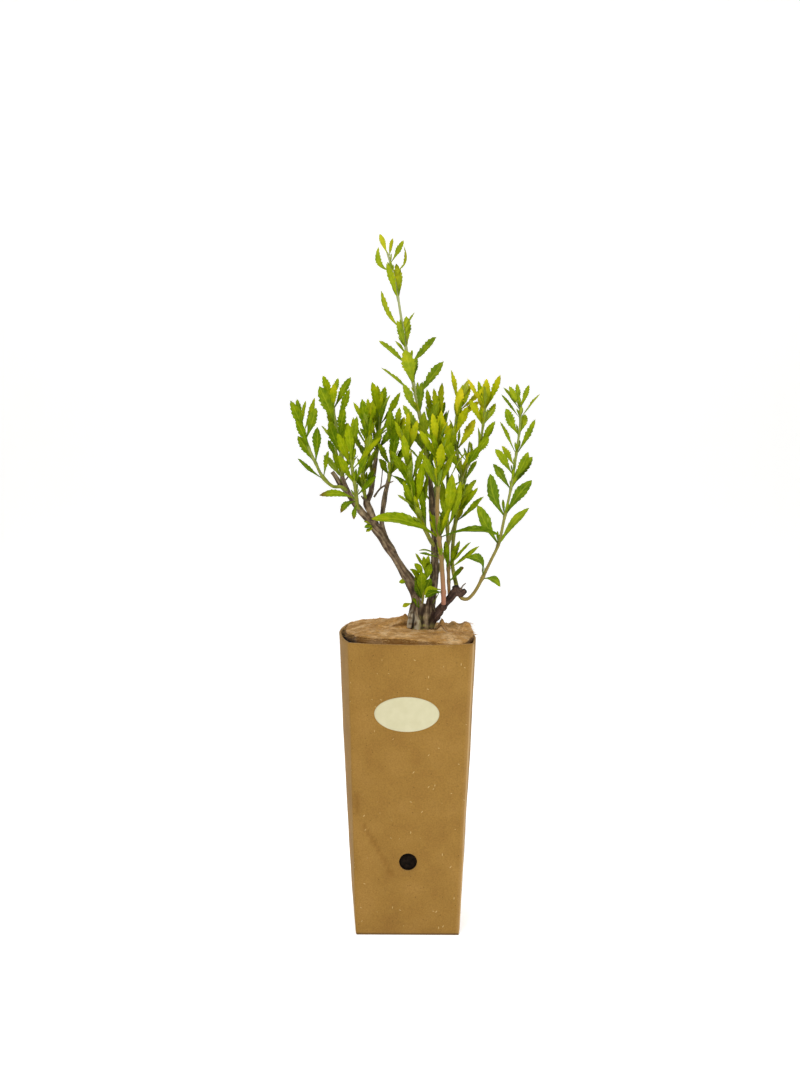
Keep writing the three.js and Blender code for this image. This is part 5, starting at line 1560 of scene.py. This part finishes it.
# %% Leaves that go with the measured ones
# Each kind that a shoot has, with its shift of shade
USUAL_EXTRA = {"young": 0.1, "turned": 0.0}
CROWDED = {"young": 0.1, "turned": 0.0, "upright": 0.12}
EXTRA_LEAVES = {
    "leader_shoot": {"young": 0.05},
    "far_left_shoot": {},
    "left_shoot": {},
    "front_left_shoot": {"young": 0.05},
    "right_arching_shoot": {"young": 0.05},
    "basal_shoot": {},
    "thin_stem_shoot": {"turned": 0.0},
    "low_centre_shoot": CROWDED,
    "front_shoot": CROWDED,
    "centre_shoot": CROWDED,
    "centre_left_shoot": CROWDED,
    "left_knob_shoot": CROWDED,
    "left_inner_shoot": CROWDED,
}
# How far they lean along the leaf they go with, how far aside, their length and width shares
LEAF_KINDS = {
    "young": ((0.3, 0.7), (0.25, 0.6), (0.26, 0.44), (0.2, 0.28)),
    "turned": ((0.0, 0.2), (0.35, 0.8), (0.55, 0.9), (0.2, 0.28)),
    "upright": ((0.1, 0.5), (0.1, 0.4), (0.5, 0.8), (0.15, 0.2)),
}
AXIL_LEAF_FROM, LONGEST = 19, 34


def more_leaves(axis, up, rows, draw, kind):
    """Leaves that go with measured ones. Young leaves stand in the corner between stem and leaf,
    a pair at each, and lean half way between the two; upright ones do so too, but are long and
    narrow. Turned leaves stand at the same foot, a quarter turn round the stem, so they point to
    the front and to the back."""
    lean, side, size, width = LEAF_KINDS[kind]
    made_axis, made_up, made_rows = [], [], []
    for foot, way, row in zip(axis, up, rows):
        reach = np.array(row[1:4]) - foot
        length = np.linalg.norm(reach)
        if length < AXIL_LEAF_FROM:
            continue
        for turn in (-1, 1):
            beside = unit(np.cross(way, reach)) * turn
            if kind == "turned" and abs(beside[1]) < 0.7:
                continue
            aim = reach / length * draw.uniform(*lean) + way * draw.uniform(0.7, 1)
            aim += beside * draw.uniform(*side)
            long = min(length, LONGEST) * draw.uniform(*size)
            made_axis.append(foot)
            made_up.append(way)
            tip = foot + unit(aim) * long
            made_rows.append((row[0], *tip, long * draw.uniform(*width), draw.uniform(0.1, 0.9)))
    return np.array(made_axis), np.array(made_up), made_rows


# %% Soft stems
STEM_SIDES, STEM_SPACING = 9, 1.6
KNOT_SWELL, KNOT_REACH = 0.28, 1.6
SQUARENESS, STEM_LUMPS = 0.05, 0.04
# From where to where on the stem, as shares of its length, bloom rises, and pink and tan fade; a
# stem that is tan for more than this share keeps the colour for longer
BLOOM_RISE, PINK_FADE, TAN_FADE = (0.15, 0.6), (0.35, 0.0), (0.75, 0.2)
LONG_TAN, LONG_TAN_FADE = 0.8, (0.95, 0.6)


def place_at(path, heights):
    """The axis point and direction where a stem's path reaches the given heights."""
    climb = np.maximum.accumulate(path[:, 2]) + 1e-6 * np.arange(len(path))
    points = np.stack([np.interp(heights, climb, path[:, k]) for k in range(3)], -1)
    way = np.gradient(path[:, :3], axis=0)
    return points, unit(np.stack([np.interp(heights, climb, way[:, k]) for k in range(3)], -1))


def add_soft_stem(sheaf, path, heights, bloom, woody, pink):
    """A green stem: its radius swells at each leaf's foot as a bell curve, is faintly four sided
    as sage stems are, and runs out to a point at the top."""
    above = (path[:, 2, None] - np.asarray(heights)[None]) / KNOT_REACH
    radius = path[:, 3] * (1 + KNOT_SWELL * np.exp(-(above**2)).sum(1).clip(0, 1))
    radius[-2:] *= [0.8, 0.1]
    points, along, angle, _ = tube(path[:, :3], radius, STEM_SIDES)
    squared = 1 + SQUARENESS * np.cos(4 * angle)[None, :, None] + STEM_LUMPS * noise(points, 3, 71)[..., None]
    points = path[:, None, :3] + (points - path[:, None, :3]) * squared
    points = np.concatenate([np.broadcast_to(path[0, :3], points[:1].shape), points])
    rise = np.concatenate([[0], along / along[-1]])[:, None] + 0 * angle[None]
    grey = bloom * smooth_step(*BLOOM_RISE, rise)
    tan = woody * smooth_step(*(LONG_TAN_FADE if woody > LONG_TAN else TAN_FADE), rise)
    blush = pink * smooth_step(*PINK_FADE, rise)
    sheaf.add(
        points, grid_faces(len(points), STEM_SIDES + 1), 2,
        np.stack(np.broadcast_arrays(angle[None], rise), -1), bloom=grey, woody=tan, pink=blush,
    )


# %% Pairs of leaves by draw
FACTOR, PRIME = 16807, 2147483647
# How much shorter the top pair is; a leaf's spread from the stem in degrees and its length as a
# share, each the first number and up to the second one more; its turn either way; its width
PAIR_SHORTENING, PAIR_SPREAD, PAIR_LENGTH = 0.3, (36, 14), (0.9, 0.2)
PAIR_TURN, PAIR_WIDTH = 0.4, 0.3


def lehmer(seed):
    """Lehmer's generator: each number is the last one times a factor, less whole turns of a
    large prime."""
    state = seed * 7919 + 11
    while True:
        state = state * FACTOR % PRIME
        yield state / PRIME


def paired_leaves(seed, path, first, last, step, length, turn):
    """Opposite leaves at even heights, a quarter turn on each time and shorter towards the top;
    a drawn spread, direction and length set each tip."""
    draw = lehmer(seed)
    rows = []
    angle = math.radians(turn)
    for height in range(first, last + 1, step):
        foot = place_at(path, [height])[0][0]
        reach = length * (1 - PAIR_SHORTENING * (height - first) / (last - first))
        for side in (0, math.pi):
            spread = math.radians(PAIR_SPREAD[0] + PAIR_SPREAD[1] * next(draw))
            azimuth = angle + side + PAIR_TURN * (next(draw) - 0.5)
            long = reach * (PAIR_LENGTH[0] + PAIR_LENGTH[1] * next(draw))
            out = long * math.sin(spread)
            tip = foot + [out * math.cos(azimuth), out * math.sin(azimuth), long * math.cos(spread)]
            rows.append((height, *tip, long * PAIR_WIDTH, 0.3 * next(draw)))
        angle += math.pi / 2
    return rows


# %% Shoots with their leaves
for shoot_name, shoot in SHOOTS.items():
    low_tone, high_tone, bloom, stem_bloom, woody, pink = SHADES[shoot_name]
    draw = np.random.default_rng(100 + shoot["seed"])
    sheaf = Sheaf()
    for stem_key, leaf_key in (("stem", "leaves"), ("fork", "fork_leaves")):
        if stem_key not in shoot:
            continue
        path = even_path(shoot[stem_key], steps=8, spacing=STEM_SPACING, least=6)
        rows = list(shoot.get(leaf_key, []))
        if stem_key == "stem" and "pairs" in shoot:
            rows += paired_leaves(shoot["seed"], path, *shoot["pairs"])
        slim = SLIM_LEAVES.get(shoot_name, 1.0)
        rows = [(*row[:4], row[4] * slim, *row[5:]) for row in rows]
        heights = [row[0] for row in rows]
        axis, up = place_at(path, heights)
        # A leaf's tone climbs from the shoot's foot to its top: its youth, and painted shade on the lower
        # leaves
        climb = smooth_step(path[0, 2], path[-1, 2], heights)
        tone = low_tone + (high_tone - low_tone) * climb
        teeth = TEETH_LOW + TEETH_GAIN * smooth_step(*TEETH_HEIGHTS, heights)
        brown = BROWN_SHARE * (np.array(heights) < BROWN_BELOW.get(shoot_name, 0))
        add_leaves(sheaf, axis, up, rows, draw, tone, teeth, bloom, brown)
        for kind, shift in EXTRA_LEAVES.get(shoot_name, USUAL_EXTRA).items():
            made_axis, made_up, made_rows = more_leaves(axis, up, rows, draw, kind)
            if made_rows:
                shade = low_tone + shift + (high_tone - low_tone) * 0.5
                add_leaves(sheaf, made_axis, made_up, made_rows, draw, shade, EXTRA_TEETH, bloom)
        add_soft_stem(sheaf, path, heights, stem_bloom, woody, pink)
    usual = [USUAL_FACE, USUAL_BOW]
    placed = np.array([list(row) + usual[len(row) - 7 :] for row in shoot.get("placed", [])])
    if len(placed):
        upright = np.tile([0.0, 0.0, 1.0], (len(placed), 1))
        add_leaves(sheaf, placed[:, :3], upright, placed[:, 2:], draw, high_tone, TEETH_LOW, bloom)
    sprig = shoot_name.replace("_shoot", "_sprig")
    sheaf.piece(sprig, [leaf_face, leaf_back, green_stem], shoot_name, merge=True)

# %% [markdown]
# ## Floor
#
# A sheet of white paper lies under the pot, curves up far behind it and is lit from behind, as
# in a studio tent. Its profile is a line, a quarter circle and a line again.

# %% Paper sweep
# The sheet is so large that its sizes are in metres
SWEEP = {"front": -3.5, "bend": 1.6, "radius": 0.9, "top": 4.5, "half_width": 4.0, "glow": 0.5}
quarter = np.linspace(0, np.pi / 2, 16)
profile = np.concatenate([
    [(SWEEP["front"], 0.0)],
    np.stack([
        SWEEP["bend"] + SWEEP["radius"] * np.sin(quarter), SWEEP["radius"] * (1 - np.cos(quarter))
    ], -1),
    [(SWEEP["bend"] + SWEEP["radius"], SWEEP["top"])],
])
sweep_points = [(x, y, z) for y, z in profile for x in (-SWEEP["half_width"], SWEEP["half_width"])]
sweep_data = bpy.data.meshes.new("paper_sweep")
sweep_data.from_pydata(sweep_points, [], grid_faces(len(profile), 2).tolist())
sweep_data.polygons.foreach_set("use_smooth", [True] * len(sweep_data.polygons))
sweep = put_in_scene("paper_sweep", sweep_data)
paper, paper_tree, paper_shader, _ = new_material("white_studio_paper")
finish_shader(paper_tree, paper_shader, {
    "Base Color": linear("#f4f4f3"), "Roughness": 0.9,
    "Emission Color": linear("#ffffff"), "Emission Strength": SWEEP["glow"],
})
sweep_data.materials.append(paper)
